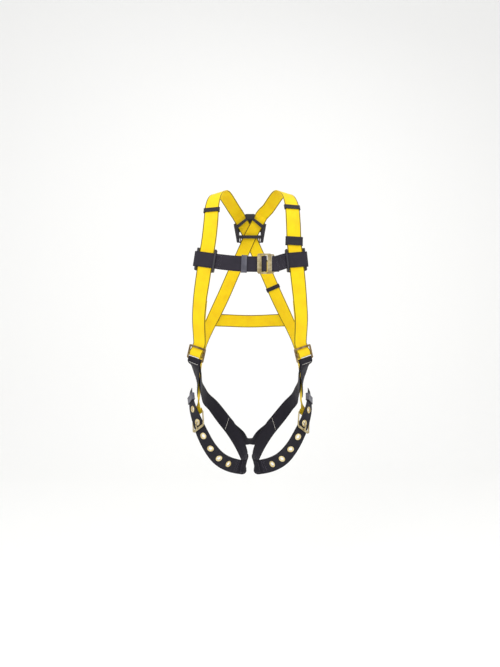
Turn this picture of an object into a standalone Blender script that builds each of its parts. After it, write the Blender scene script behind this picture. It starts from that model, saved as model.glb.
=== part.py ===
"""Vest-style full-body safety harness, shown in the shape it takes when worn.

Axes: +X is the wearer's left, -Y is the wearer's front, +Z is up. The origin is midway
between the shoulder tops, at the height of the shoulder straps. Lengths are in metres.
"""

import math

import bmesh
import bpy
from mathutils import Matrix, Vector

# Driving dimensions -------------------------------------------------------------------
WEB_WIDTH = 0.045          # polyester webbing, 1-3/4 inch
WEB_THICK = 0.0019
GAP = 0.0003               # clearance kept between touching pieces
STEP = 0.012               # longest facet along a strap

UPPER_LEAN = 0.0062        # the shoulder part sits this far to the wearer's left
LEG_SPREAD = {1: 1.025, -1: 0.985}

ADJUSTER_WIDTH, ADJUSTER_LENGTH, ADJUSTER_THICK = 0.062, 0.044, 0.0032
LEG_BUCKLE_WIDTH, LEG_BUCKLE_LENGTH = 0.060, 0.046
CHEST_BUCKLE_WIDTH, CHEST_BUCKLE_HEIGHT = 0.042, 0.059
GUIDE_WIDTH, GUIDE_HEIGHT = 0.0615, 0.070
GUIDE_RAIL = 0.0058
GUIDE_BRIDGE = 0.0088      # front face of the bar that the chest strap passes behind
CHEST_HEIGHT = -0.2470
CHEST_CENTRE = Vector((0.0420, -0.1500, -0.2652))
CHEST_FRAME_BAR = 0.0050   # width of the chest buckle frame's webbing bar
CHEST_FRAME_BAR_V = -0.0264
PAD_TILT = math.radians(12.4)

GROMMET_COUNT = 6
GROMMET_OUTER, GROMMET_HOLE = 0.0103, 0.0058
GROMMET_PITCH = 0.0455
GROMMET_FIRST = 0.079      # first eyelet, from the crotch end of its strap
BUCKLED_EYELET = 4         # index of the eyelet that the leg buckle's prong uses

KEEPER_HEIGHT = {1: -0.0830, -1: -0.0930}
LANYARD_KEEPER_HEIGHT = -0.1925
BACK_KEEPER_HEIGHT = -0.3060

SIDES = (("left", 1), ("right", -1))

# Webbing routes on the wearer's left: x, y, z, outward normal, share of the lean ----------
FRONT_ROUTE = [
    (0.1560, -0.1010, -0.4270, 0.38, -0.92, 0.00, 0.0),
    (0.1509, -0.1100, -0.3670, 0.26, -0.96, 0.04, 0.0),
    (0.1430, -0.1174, -0.3075, 0.12, -0.99, 0.01, 0.2),
    (0.1352, -0.1180, -0.2480, 0.11, -0.99, 0.00, 0.4),
    (0.1275, -0.1178, -0.1880, 0.10, -0.99, 0.01, 0.7),
    (0.1240, -0.1110, -0.1316, 0.10, -0.975, 0.20, 1.0),
    (0.1222, -0.0880, -0.0760, 0.18, -0.85, 0.50, 1.0),
    (0.1145, -0.0560, -0.0340, 0.26, -0.60, 0.76, 0.9),
    (0.1020, -0.0200, -0.0115, 0.26, -0.20, 0.94, 0.8),
    (0.0895, 0.0140, -0.0065, 0.22, 0.18, 0.95, 0.7),
    (0.0740, 0.0500, -0.0190, 0.16, 0.55, 0.81, 0.6),
    (0.0600, 0.0765, -0.0340, 0.10, 0.74, 0.66, 0.5),
]
CROSSING = (0.0, 0.1190, -0.1220)
BACK_ROUTE = [
    (-0.0185, 0.1270, -0.1620, 0.00, 0.99, 0.12, 0.0),
    (-0.0385, 0.1300, -0.2050, 0.00, 1.00, 0.02, 0.0),
    (-0.0580, 0.1295, -0.2466, 0.00, 1.00, 0.00, 0.0),
    (-0.0920, 0.1200, -0.3270, -0.15, 0.98, 0.00, 0.0),
    (-0.1213, 0.1010, -0.3940, -0.40, 0.91, 0.00, 0.0),
    (-0.1430, 0.0720, -0.4470, -0.66, 0.74, 0.00, 0.0),
    (-0.1570, 0.0360, -0.4980, -0.88, 0.46, 0.00, 0.0),
    (-0.1625, 0.0130, -0.5450, -0.98, 0.20, 0.00, 0.0),
    (-0.1640, 0.0000, -0.5850, -1.00, 0.00, 0.00, 0.0),
    (-0.1640, -0.0130, -0.6250, -1.00, 0.00, 0.00, 0.0),
    (-0.1640, -0.0260, -0.6620, -1.00, 0.00, 0.00, 0.0),
    (-0.1645, -0.0340, -0.6800, -1.00, -0.05, 0.00, 0.0),
]
BACK_LAYERING = 0.0015     # half the step between the two straps where they cross

WAIST_ROUTE = [
    (-0.0850, 0.1305, -0.4210, -0.22, 0.97, 0.00, 0.0),
    (-0.0400, 0.1385, -0.4228, -0.08, 0.99, 0.00, 0.0),
    (0.0000, 0.1405, -0.4235, 0.00, 1.00, 0.00, 0.0),
    (0.0400, 0.1385, -0.4228, 0.08, 0.99, 0.00, 0.0),
    (0.0850, 0.1305, -0.4210, 0.22, 0.97, 0.00, 0.0),
]
WAIST_HEIGHT = -0.4185
REAR_LEG_ROUTE = [
    (0.1612, -0.0170, -0.6120, 1.00, 0.00, 0.00, 0.0),
    (0.1610, -0.0010, -0.6380, 1.00, 0.00, 0.00, 0.0),
    (0.1558, 0.0180, -0.6640, 0.97, 0.22, -0.02, 0.0),
    (0.1490, 0.0430, -0.6900, 0.80, 0.58, -0.14, 0.0),
    (0.1286, 0.0730, -0.7200, 0.45, 0.84, -0.28, 0.0),
    (0.0990, 0.0930, -0.7640, 0.05, 0.94, -0.34, 0.0),
    (0.0640, 0.0920, -0.8090, -0.30, 0.90, -0.32, 0.0),
    (0.0375, 0.0720, -0.8490, -0.56, 0.80, -0.18, 0.0),
    (0.0195, 0.0400, -0.8820, -0.76, 0.64, -0.10, 0.0),
    (0.0130, 0.0070, -0.9010, -0.93, 0.36, 0.00, 0.0),
]
GROMMET_ROUTE = [
    (0.0180, 0.0050, -0.9085, -0.86, -0.50, 0.00, 0.0),
    (0.0405, -0.0190, -0.8990, -0.62, -0.78, 0.00, 0.0),
    (0.0718, -0.0500, -0.8794, -0.36, -0.93, -0.05, 0.0),
    (0.1000, -0.0750, -0.8530, -0.05, -0.99, -0.08, 0.0),
    (0.1255, -0.0900, -0.8160, 0.28, -0.95, -0.04, 0.0),
    (0.1465, -0.0930, -0.7764, 0.46, -0.88, 0.00, 0.0),
    (0.1655, -0.0800, -0.7388, 0.65, -0.76, 0.00, 0.0),
    (0.1815, -0.0590, -0.7033, 0.80, -0.59, 0.00, 0.0),
    (0.1885, -0.0400, -0.6680, 0.92, -0.38, 0.00, 0.0),
    (0.1890, -0.0310, -0.6480, 0.96, -0.28, 0.00, 0.0),
]
BRIDGE_MIDDLE = [
    (-0.0190, 0.0990, -0.8440, 0.22, 0.42, -0.88, 0.0),
    (0.0000, 0.1000, -0.8490, 0.00, 0.20, -0.98, 0.0),
    (0.0190, 0.0990, -0.8440, -0.22, 0.42, -0.88, 0.0),
]
# Where it is sewn to each rear leg strap: distance down that strap, and height off it
BRIDGE_RUNS = ((0.222, 0.0062), (0.240, 0.0046), (0.258, 0.0040))


# Small geometry helpers ---------------------------------------------------------------
def leg_spread(side, z):
    """How much wider than drawn the leg loop hangs at this height."""
    share = min(max((-0.665 - z) / 0.06, 0.0), 1.0)
    return 1.0 + (LEG_SPREAD[side] - 1.0) * share


def mirrored(points, side):
    """The route's points as (position, normal) pairs on the given side of the body."""
    pairs = []
    for x, y, z, nx, ny, nz, lean in points:
        place = Vector((side * x * leg_spread(side, z) + UPPER_LEAN * lean, y, z))
        pairs.append((place, Vector((side * nx, ny, nz)).normalized()))
    return pairs


def cubic(a, b, c, d, t):
    """Catmull-Rom interpolation between b and c."""
    return 0.5 * ((2 * b) + (c - a) * t + (2 * a - 5 * b + 4 * c - d) * t * t
                  + (3 * b - a - 3 * c + d) * t * t * t)


def sections(pairs, step=STEP):
    """Places along a smooth strap: (centre, along, across, out) every step or less."""
    count = len(pairs)
    raw = []
    for i in range(count - 1):
        p = [pairs[min(max(i + k, 0), count - 1)] for k in (-1, 0, 1, 2)]
        if i == 0:
            p[0] = (2 * p[1][0] - p[2][0], p[1][1])
        if i == count - 2:
            p[3] = (2 * p[2][0] - p[1][0], p[2][1])
        spans = max(1, math.ceil((p[2][0] - p[1][0]).length / step))
        for k in range(spans):
            t = k / spans
            centre = cubic(p[0][0], p[1][0], p[2][0], p[3][0], t)
            normal = cubic(p[0][1], p[1][1], p[2][1], p[3][1], t)
            raw.append((centre, normal))
    raw.append(pairs[-1])
    result = []
    for i, (centre, normal) in enumerate(raw):
        along = (raw[min(i + 1, len(raw) - 1)][0] - raw[max(i - 1, 0)][0]).normalized()
        across = along.cross(normal).normalized()
        result.append((centre, along, across, across.cross(along).normalized()))
    return result


def at_length(places, distance):
    """The section at this distance along the strap, measured from its first place."""
    travelled = 0.0
    for first, second in zip(places, places[1:]):
        span = (second[0] - first[0]).length
        if travelled + span >= distance:
            t = (distance - travelled) / span
            return tuple(a.lerp(b, t) for a, b in zip(first, second))
        travelled += span
    return places[-1]


def at_height(places, z):
    """The section nearest to this height."""
    return min(places, key=lambda place: abs(place[0].z - z))


class Frame:
    """A right-handed set of axes: u along, v across, w out of the surface."""

    def __init__(self, origin, along, out):
        self.origin = Vector(origin)
        self.u = Vector(along).normalized()
        self.v = self.u.cross(Vector(out)).normalized()
        self.w = self.v.cross(self.u).normalized()

    def at(self, u, v, w):
        """The world place of a local point."""
        return self.origin + self.u * u + self.v * v + self.w * w

    def direction(self, u, v, w):
        """The world direction of a local one."""
        return (self.u * u + self.v * v + self.w * w).normalized()

    def arc(self, u, w, radius, start, end, steps):
        """Strap points round a bar along v; angles in degrees, 0 is out, 90 is along u."""
        points = []
        for k in range(steps + 1):
            angle = math.radians(start + (end - start) * k / steps)
            out = self.direction(math.sin(angle), 0, math.cos(angle))
            points.append((self.at(u, 0, w) + out * radius, out))
        return points

    def run(self, u, w, out=1):
        """One strap point lying flat in the frame, facing out (+1) or in (-1)."""
        return (self.at(u, 0, w), self.w * out)


def material(name, colour, roughness, metallic=0.0):
    """A plain Principled finish."""
    made = bpy.data.materials.new(name)
    made.use_nodes = True
    shader = made.node_tree.nodes["Principled BSDF"]
    shader.inputs["Base Color"].default_value = (*colour, 1.0)
    shader.inputs["Roughness"].default_value = roughness
    shader.inputs["Metallic"].default_value = metallic
    made.diffuse_color = (*colour, 1.0)
    return made


def add_object(name, bm, finish, smooth=False):
    """Turn a bmesh into a named object with its faces pointing out."""
    bmesh.ops.recalc_face_normals(bm, faces=bm.faces)
    mesh = bpy.data.meshes.new(name)
    bm.to_mesh(mesh)
    bm.free()
    mesh.materials.append(finish)
    if smooth:
        mesh.shade_smooth()
        mesh.set_sharp_from_angle(angle=math.radians(40))
    made = bpy.data.objects.new(name, mesh)
    bpy.context.scene.collection.objects.link(made)
    return made


def ring_loop(bm, corners):
    """Add one ring of vertices."""
    return [bm.verts.new(place) for place in corners]


def skin(bm, rings, closed=False):
    """Join rings of equal count with quads; cap the two ends, or join them up."""
    pairs = list(zip(rings, rings[1:]))
    if closed:
        pairs.append((rings[-1], rings[0]))
    for first, second in pairs:
        for i in range(len(first)):
            j = (i + 1) % len(first)
            bm.faces.new((first[i], first[j], second[j], second[i]))
    if not closed:
        bm.faces.new(rings[0])
        bm.faces.new(list(reversed(rings[-1])))


def ribbon(name, pairs, finish, width=WEB_WIDTH, thick=WEB_THICK, step=STEP):
    """A strap of webbing: a flat rectangle swept along its route."""
    bm = bmesh.new()
    rings = []
    for centre, _, across, out in sections(pairs, step):
        side, face = across * width / 2, out * thick / 2
        rings.append(ring_loop(bm, (centre - side - face, centre + side - face,
                                    centre + side + face, centre - side + face)))
    skin(bm, rings)
    return add_object(name, bm, finish)


def rod(name, path, radius, finish, facets=10, closed=False, flat=1.0):
    """A round bar swept along a planar path of (place, plane normal)."""
    bm = bmesh.new()
    rings = []
    count = len(path)
    for i, (place, plane) in enumerate(path):
        before = path[i - 1][0] if closed or i else place
        after = path[(i + 1) % count][0] if closed or i < count - 1 else place
        along = (after - before).normalized()
        side = along.cross(plane).normalized()
        ring = []
        for k in range(facets):
            angle = 2 * math.pi * (k + 0.5) / facets
            ring.append(place + side * radius * math.cos(angle)
                        + plane * radius * flat * math.sin(angle))
        rings.append(ring_loop(bm, ring))
    skin(bm, rings, closed)
    return add_object(name, bm, finish, smooth=True)


def plate(name, frame, outline, holes, low, high, finish):
    """A flat plate in the frame's u-v plane, from w = low to w = high, with windows."""
    bm = bmesh.new()
    edges = []
    for loop in [outline] + holes:
        verts = [bm.verts.new(frame.at(u, v, low)) for u, v in loop]
        edges += [bm.edges.new((verts[i - 1], verts[i])) for i in range(len(verts))]
    filled = bmesh.ops.triangle_fill(bm, use_beauty=True, use_dissolve=False, edges=edges)
    faces = [item for item in filled["geom"] if isinstance(item, bmesh.types.BMFace)]
    grown = bmesh.ops.extrude_face_region(bm, geom=faces)
    moved = [item for item in grown["geom"] if isinstance(item, bmesh.types.BMVert)]
    bmesh.ops.translate(bm, verts=moved, vec=frame.w * (high - low))
    return add_object(name, bm, finish)


def rounded(u_low, u_high, v_low, v_high, radius, steps=3):
    """A rectangle with round corners, as (u, v) points."""
    points = []
    corners = ((u_high, v_high, 0), (u_low, v_high, 90), (u_low, v_low, 180), (u_high, v_low, 270))
    for u, v, start in corners:
        centre_u = u - math.copysign(radius, u - (u_low + u_high) / 2)
        centre_v = v - math.copysign(radius, v - (v_low + v_high) / 2)
        for k in range(steps + 1):
            angle = math.radians(start + 90 * k / steps)
            points.append((centre_u + radius * math.cos(angle), centre_v + radius * math.sin(angle)))
    return points


def pivot_at(thing, place):
    """Put an object's origin on its joint without moving its shape."""
    thing.data.transform(Matrix.Translation(-Vector(place)))
    thing.location = place
    return thing


def united(whole, *others):
    """Join solids that overlap into one closed body."""
    for other in others:
        join = whole.modifiers.new("join", "BOOLEAN")
        join.operation = "UNION"
        join.solver = "EXACT"
        join.object = other
        other.hide_render = True
        other.display_type = "WIRE"
    return whole


def cut(whole, *cutters):
    """Take each cutter out of the solid."""
    for cutter in cutters:
        trim = whole.modifiers.new("cut", "BOOLEAN")
        trim.operation = "DIFFERENCE"
        trim.solver = "EXACT"
        trim.object = cutter
        cutter.hide_render = True
        cutter.display_type = "WIRE"
    return whole


def block(name, frame, u_span, v_span, w_span, finish):
    """A rectangular block in a frame."""
    bm = bmesh.new()
    rings = []
    for u in u_span:
        rings.append(ring_loop(bm, [frame.at(u, v, w) for v, w in (
            (v_span[0], w_span[0]), (v_span[1], w_span[0]),
            (v_span[1], w_span[1]), (v_span[0], w_span[1]))]))
    skin(bm, rings)
    return add_object(name, bm, finish)


def sleeve(name, frame, length, inner_v, inner_w, wall, finish, centre_w=0.0):
    """A keeper: a short rectangular tube round a strap that runs along u."""
    bm = bmesh.new()
    shapes = []
    for grow in (0.0, wall):
        half_v, half_w = inner_v / 2 + grow, inner_w / 2 + grow
        shapes.append(rounded(-half_w, half_w, -half_v, half_v, 0.0004 + grow * 0.9, 2))
    inner, outer = shapes
    rings = []
    for u, shape in ((-length / 2, inner), (-length / 2, outer), (length / 2, outer),
                     (length / 2, inner)):
        rings.append(ring_loop(bm, [frame.at(u, v, w + centre_w) for w, v in shape]))
    skin(bm, rings, closed=True)
    return add_object(name, bm, finish)


def turned_ring(name, centre, axis, side, profile, finish, facets=16):
    """A ring turned about an axis from a closed (radius, height) profile."""
    bm = bmesh.new()
    other = axis.cross(side).normalized()
    rings = []
    for k in range(facets):
        angle = 2 * math.pi * k / facets
        spoke = side * math.cos(angle) + other * math.sin(angle)
        rings.append(ring_loop(bm, [centre + spoke * r + axis * h for r, h in profile]))
    skin(bm, rings, closed=True)
    return add_object(name, bm, finish, smooth=True)


# Frames that several pieces share -------------------------------------------------------
def adjuster_frame(side):
    """The torso adjuster at the hip: u runs down the strap, w out from the body."""
    out = Vector((0.45, -0.89, 0.0)).normalized()
    level = Vector((0.89, 0.45, 0.0)).normalized()
    tilt = math.radians(15)
    down = level * math.sin(tilt) - Vector((0, 0, 1)) * math.cos(tilt)
    mirror = Vector((side, 1, 1))
    return Frame(Vector((0.1645, -0.0885, -0.5290)) * mirror, down * mirror, out * mirror)


def leg_loop_places(side):
    """Sections of the grommet strap, from the crotch end to the free end."""
    return sections(mirrored(GROMMET_ROUTE, side), 0.006)


def grommet_distances():
    """Distances along the grommet strap of its eyelets, from the crotch end."""
    return [GROMMET_FIRST + GROMMET_PITCH * i for i in range(GROMMET_COUNT)]


def leg_buckle_frame(side):
    """The leg buckle: origin on the used eyelet, u down the strap, w out from the thigh."""
    places = leg_loop_places(side)
    centre, along, _, out = at_length(places, grommet_distances()[BUCKLED_EYELET])
    return Frame(centre, -along, out)


def pad_frame():
    """The dorsal pad: u runs down, v across, w out from the wearer's back."""
    down = Vector((0, math.sin(PAD_TILT), -math.cos(PAD_TILT)))
    out = Vector((0, math.cos(PAD_TILT), math.sin(PAD_TILT)))
    return Frame(CROSSING, down, out)


# Places on the dorsal D-ring, in the pad's frame
D_RING_PIVOT_W = -0.0060
D_RING_ROD = 0.0027
D_RING_HALF = 0.0338
D_RING_ARM = 0.0200
D_RING_STAND_OFF = math.radians(47)

# Places on the adjuster, in its own frame
ADJUSTER_TOP = -ADJUSTER_LENGTH / 2
ADJUSTER_BOTTOM = ADJUSTER_LENGTH / 2
ADJUSTER_BAR = 0.0060
SLIDE_BAR_HALF = 0.0045

# Places on the leg buckle, in its own frame
HINGE_U, HINGE_W = -0.0250, -0.0125
ROLLER_U, ROLLER_W = 0.0200, 0.0062
ROLLER_ROD, ROLLER_OUTER = 0.0022, 0.0038


# Sub-parts ----------------------------------------------------------------------------
def shoulder_pairs(side):
    """One torso strap from its shoulder over the back to the other hip."""
    pairs = mirrored(FRONT_ROUTE, side)
    layer = -BACK_LAYERING if side > 0 else BACK_LAYERING
    tilt = Vector((0, math.cos(PAD_TILT), math.sin(PAD_TILT)))
    for u, x in ((-0.0760, 0.0435), (-0.0620, 0.0352), (-0.0310, 0.0172), (0.0, 0.0),
                 (0.0240, -0.0112)):
        pairs.append((Vector((side * x, 0, 0)) + pad_frame().at(u, 0, layer), tilt))
    below = mirrored(BACK_ROUTE, side)
    for index, (place, normal) in enumerate(below):
        share = max(0.0, 1.0 - index / 4)
        pairs.append((place + Vector((0, layer * share, 0)), normal))
    return pairs


def torso_strap(name, side, finish):
    """Tail, adjuster turn, front run, shoulder, back diagonal and leg-buckle loop in one."""
    hip = adjuster_frame(side)
    half = WEB_THICK / 2 + GAP
    bar = 0.0020 + half + 0.0016
    tail = [(place - normal * 0.0030, -normal) for place, normal in mirrored(FRONT_ROUTE[:2], side)]
    pairs = list(reversed(tail))
    pairs += [hip.run(-0.0360, -0.0062, -1), hip.run(-0.0200, -0.0060, -1)]
    pairs += [hip.run(-0.0060, -bar, -1), hip.run(0.0020, -bar, -1)]
    pairs += list(reversed(hip.arc(0.0055, 0.0, bar, 0, 180, 6)))
    pairs += [hip.run(0.0010, bar), hip.run(-0.0055, 0.0040), hip.run(-0.0140, -0.0026)]
    pairs += [hip.run(-0.0240, -0.0033), hip.run(-0.0360, -0.0033)]
    pairs += shoulder_pairs(side)
    leg = leg_buckle_frame(-side)
    radius = ROLLER_ROD + half + 0.0002
    last = pairs[-1]
    pairs.append((last[0].lerp(leg.at(HINGE_U - 0.010, 0, HINGE_W), 0.5),
                  last[1].lerp(leg.w, 0.5).normalized()))
    pairs.append(leg.run(HINGE_U - 0.0080, HINGE_W + radius - 0.0012))
    pairs += leg.arc(HINGE_U, HINGE_W, radius, 0, 180, 6)
    pairs.append(leg.run(HINGE_U - 0.0120, HINGE_W - radius - 0.0008, -1))
    strap = ribbon(name, pairs, finish)
    slot = block(name + "_prong_slot", leg, (HINGE_U - 0.007, HINGE_U + 0.012),
                 (-0.0052, 0.0052), (HINGE_W - 0.012, HINGE_W + 0.012), finish)
    return cut(strap, slot)


def dorsal_pad(finish):
    """Moulded keeper that holds the crossing straps: front bars, cheeks and a rear plate."""
    frame = pad_frame()
    inner, outer = 0.0036, 0.0062
    front = -0.0122
    hexagon = [(-0.079, -0.017), (-0.079, 0.017), (-0.043, 0.0585), (0.0205, 0.0470),
               (0.0205, -0.0470), (-0.043, -0.0585)]
    slots = [rounded(-0.0170, 0.0160, s * D_RING_HALF - 0.0042, s * D_RING_HALF + 0.0042, 0.001, 1)
             for s in (-1, 1)]
    rear = plate("dorsal_pad", frame, hexagon, slots, inner, outer, finish)
    parts = []
    for s in (-1, 1):
        cheek = [(-0.0440, s * 0.0580), (-0.0440, s * 0.0516), (-0.0260, s * 0.0428),
                 (-0.0050, s * 0.0390), (0.0200, s * 0.0380), (0.0200, s * 0.0468)]
        parts.append(plate(f"pad_cheek_{s}", frame, cheek, [], front, inner + 0.001, finish))
        bar = [(-0.0660, s * 0.0120), (-0.0600, s * 0.0050), (-0.0300, s * 0.0420),
               (-0.0370, s * 0.0520)]
        parts.append(plate(f"pad_diagonal_{s}", frame, bar, [], front, front + 0.0030, finish))
    top = [(-0.0785, -0.0165), (-0.0785, 0.0165), (-0.0640, 0.0165), (-0.0590, 0.0),
           (-0.0640, -0.0165)]
    parts.append(plate("pad_top", frame, top, [], front, front + 0.0030, finish))
    column = [(-0.0775, -0.0150), (-0.0775, 0.0150), (-0.0645, 0.0075), (-0.0645, -0.0075)]
    parts.append(plate("pad_column", frame, column, [], front + 0.0012, inner + 0.0012, finish))
    bar = [(-0.0055, -0.0420), (-0.0055, 0.0420), (0.0055, 0.0420), (0.0055, -0.0420)]
    parts.append(plate("pad_bar", frame, bar, [], front, front + 0.0025, finish))
    return united(rear, *parts)


def dorsal_d_ring(finish):
    """Steel ring whose straight bar lies between the straps and the pad's lower bar."""
    frame = pad_frame()
    hang = frame.direction(math.cos(D_RING_STAND_OFF), 0, math.sin(D_RING_STAND_OFF))
    plane = hang.cross(frame.v).normalized()
    pivot = frame.at(0, 0, D_RING_PIVOT_W)
    corner = 0.0060
    local = []
    for s, start, end in ((-1, 180, 90), (1, 90, 0)):
        turns = []
        for k in range(4):
            angle = math.radians(start + (end - start) * k / 3)
            turns.append((corner - corner * math.sin(angle),
                          s * (D_RING_HALF - corner) + corner * math.cos(angle)))
        local += turns
    local.append((D_RING_ARM, D_RING_HALF))
    for k in range(1, 12):
        angle = math.pi * k / 12
        local.append((D_RING_ARM + D_RING_HALF * math.sin(angle), D_RING_HALF * math.cos(angle)))
    local.append((D_RING_ARM, -D_RING_HALF))
    path = [(pivot + hang * u + frame.v * v, plane) for u, v in local]
    return pivot_at(rod("dorsal_d_ring", path, D_RING_ROD, finish, 10, closed=True), pivot)


def chest_frame(side):
    """The chest-strap guide on a front strap: u down the strap, w away from the chest."""
    centre, along, _, out = at_height(sections(mirrored(FRONT_ROUTE, side), 0.004), CHEST_HEIGHT)
    return Frame(centre, -along, out)


def chest_guide(name, side, finish):
    """Moulded slide behind the front strap: two rounded rails, and a bridge over the inner one."""
    frame = chest_frame(side)
    half_u, half_v = GUIDE_HEIGHT / 2, GUIDE_WIDTH / 2
    outline = rounded(-half_u, half_u, -half_v, half_v, 0.008)
    window = rounded(-half_u + 0.012, half_u - 0.012, -half_v + 0.0085, half_v - 0.0085, 0.002, 1)
    back = plate(name, frame, outline, [window], -0.0052, -0.0026, finish)
    rails = []
    for s in (-1, 1):
        v_low, v_high = sorted((s * (half_v - GUIDE_RAIL), s * (half_v - 0.0002)))
        shape = rounded(-half_u + 0.001, half_u - 0.001, v_low, v_high, 0.0026)
        rails.append(plate(f"{name}_rail_{s}", frame, shape, [], -0.0048, 0.0016, finish))
    inner = -1 if frame.v.x * side > 0 else 1
    v_low, v_high = sorted((inner * (half_v - GUIDE_RAIL + 0.0004), inner * (half_v - 0.0006)))
    for s in (-1, 1):
        u_low, u_high = sorted((s * (WEB_WIDTH / 2 + 0.0040), s * (half_u - 0.0018)))
        post = block(f"{name}_post_{s}", frame, (u_low, u_high), (v_low, v_high),
                     (-0.0040, GUIDE_BRIDGE - 0.0006), finish)
        rails.append(post)
    shape = rounded(-half_u + 0.0012, half_u - 0.0012, v_low - 0.0002, v_high + 0.0002, 0.0022)
    rails.append(plate(f"{name}_bridge", frame, shape, [], GUIDE_BRIDGE - 0.0022, GUIDE_BRIDGE,
                       finish))
    return united(back, *rails)


def chest_loop(side):
    """Strap points round the guide: rear layer first, then the front one to its inner rail."""
    guide = chest_frame(side)
    inward = guide.v if guide.v.x * side < 0 else -guide.v
    frame = Frame(guide.origin, inward, guide.w)
    half_v = GUIDE_WIDTH / 2
    front = 0.0016 + WEB_THICK / 2 + 0.0008
    rear = -0.0052 - WEB_THICK / 2 - 0.0004
    middle, radius = (front + rear) / 2, (front - rear) / 2
    pairs = [frame.run(half_v - 0.004, rear, -1), frame.run(0.0, rear, -1)]
    pairs.append(frame.run(-half_v + 0.003, rear, -1))
    for k in range(1, 6):
        angle = math.radians(180 + 180 * k / 6)
        out = frame.direction(math.sin(angle), 0, math.cos(angle))
        pairs.append((frame.at(-half_v, 0, middle) + out * radius, out))
    pairs += [frame.run(-half_v + 0.003, front), frame.run(0.0, front)]
    pairs.append(frame.run(half_v - 0.002, front))
    return pairs


def chest_strap_left(finish):
    """Wearer's left half: loop round the guide, then a sewn loop on the buckle frame's bar."""
    buckle = chest_buckle_frame()
    radius = CHEST_FRAME_BAR / 2 + WEB_THICK / 2 + GAP + 0.0003
    pairs = chest_loop(1)
    pairs.append((Vector((0.0905, -0.1395, -0.2590)), Vector((0.30, -0.95, 0))))
    along_bar = Frame(buckle.at(0, CHEST_FRAME_BAR_V, 0), buckle.v, buckle.w)
    for w, u in ((radius, -0.0080), (radius, -0.0020)):
        pairs.append(along_bar.run(u, w))
    for k in range(1, 6):
        angle = math.radians(180 * k / 6)
        out = along_bar.direction(math.sin(angle), 0, math.cos(angle))
        pairs.append((along_bar.origin + out * radius, out))
    for u, w in ((-0.0020, -radius), (-0.0080, -radius), (-0.0170, -radius + 0.0006)):
        pairs.append(along_bar.run(u, w, -1))
    return ribbon("chest_strap_left", pairs, finish, step=0.010)


def chest_strap_right(finish):
    """Wearer's right half: through the buckle frame, round the seated plate, loose tail behind."""
    buckle = chest_buckle_frame()
    pairs = chest_loop(-1)
    pairs.append((Vector((-0.0840, -0.1372, -0.2575)), Vector((-0.26, -0.96, 0))))
    pairs.append((Vector((-0.0550, -0.1430, -0.2615)), Vector((-0.12, -0.99, 0))))
    pairs.append((Vector((-0.0170, -0.1465, -0.2645)), Vector((-0.03, -1.0, 0))))
    path = ((0.0240, -0.0032, 0), (0.0150, -0.0028, 10), (0.0095, -0.0008, 40),
            (0.0062, 0.0026, 70), (0.0040, 0.0052, 35), (0.0, 0.0060, 0), (-0.0040, 0.0052, -35),
            (-0.0062, 0.0024, -80), (-0.0060, -0.0014, -115), (-0.0030, -0.0050, -150),
            (0.0050, -0.0064, -178), (0.0240, -0.0062, -180))
    for v, w, turn in path:
        lean = math.radians(turn)
        pairs.append((buckle.at(0, v, w), buckle.direction(0, math.sin(lean), math.cos(lean))))
    pairs.append((Vector((-0.0170, -0.1433, -0.2645)), Vector((0.03, 1.0, 0))))
    pairs.append((Vector((-0.0500, -0.1402, -0.2618)), Vector((0.10, 0.99, 0))))
    return ribbon("chest_strap_right", pairs, finish, step=0.010)


def chest_buckle_frame():
    """The chest buckle: u down, v to the wearer's right, w away from the chest."""
    return Frame(CHEST_CENTRE, Vector((0, 0, -1)), Vector((0, -1, 0)))


def chest_buckle(metal):
    """Pass-through chest buckle: a window frame and the plate that seats across it."""
    frame = chest_buckle_frame()
    half_u, half_v = CHEST_BUCKLE_HEIGHT / 2, CHEST_BUCKLE_WIDTH / 2
    outline = rounded(-half_u + 0.0015, half_u - 0.0015, CHEST_FRAME_BAR_V - CHEST_FRAME_BAR / 2,
                      0.0190, 0.004)
    window = rounded(-0.0246, 0.0246, CHEST_FRAME_BAR_V + CHEST_FRAME_BAR / 2, 0.0142, 0.002)
    plate("chest_buckle_frame", frame, outline, [window], -0.0012, 0.0012, metal)
    outline = rounded(-half_u, half_u, -half_v, half_v, 0.006)
    slots = [rounded(-0.0246, 0.0246, *sorted((s * 0.0024, s * 0.0086)), 0.001, 1) for s in (-1, 1)]
    plate("chest_buckle_plate", frame, outline, slots, 0.0018, 0.0042, metal)


def chest_tail_slider(finish):
    """Sliding keeper that holds down the loose end of the chest strap."""
    frame = Frame((-0.0170, -0.1449, -0.2645), (1, -0.03, -0.04), (0, -1, 0))
    slider = sleeve("chest_tail_slider", frame, 0.0165, WEB_WIDTH + 0.003, 0.0072, 0.0016, finish)
    return pivot_at(slider, frame.origin)


def strap_keeper(name, pairs, height, length, finish, tilt=0.0, slack=0.0014, spare=0.0030):
    """An elastic keeper round a torso strap at a given height."""
    centre, along, _, out = at_height(sections(pairs, 0.004), height)
    frame = Frame(centre, along, out)
    frame = Frame(centre, frame.direction(math.cos(tilt), math.sin(tilt), 0), out)
    keeper = sleeve(name, frame, length, WEB_WIDTH + spare, WEB_THICK + 2 * slack, 0.0013, finish)
    return pivot_at(keeper, centre)


def hip_adjuster(name, side, metal):
    """Steel adjuster frame with a top bar and a lower bar."""
    frame = adjuster_frame(side)
    half_v, half_t = ADJUSTER_WIDTH / 2, ADJUSTER_THICK / 2
    outline = rounded(ADJUSTER_TOP, ADJUSTER_BOTTOM, -half_v, half_v, 0.004)
    window = rounded(ADJUSTER_TOP + ADJUSTER_BAR, ADJUSTER_BOTTOM - ADJUSTER_BAR,
                     -half_v + 0.0055, half_v - 0.0055, 0.0015, 1)
    return plate(name, frame, outline, [window], -half_t, half_t, metal)


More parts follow.
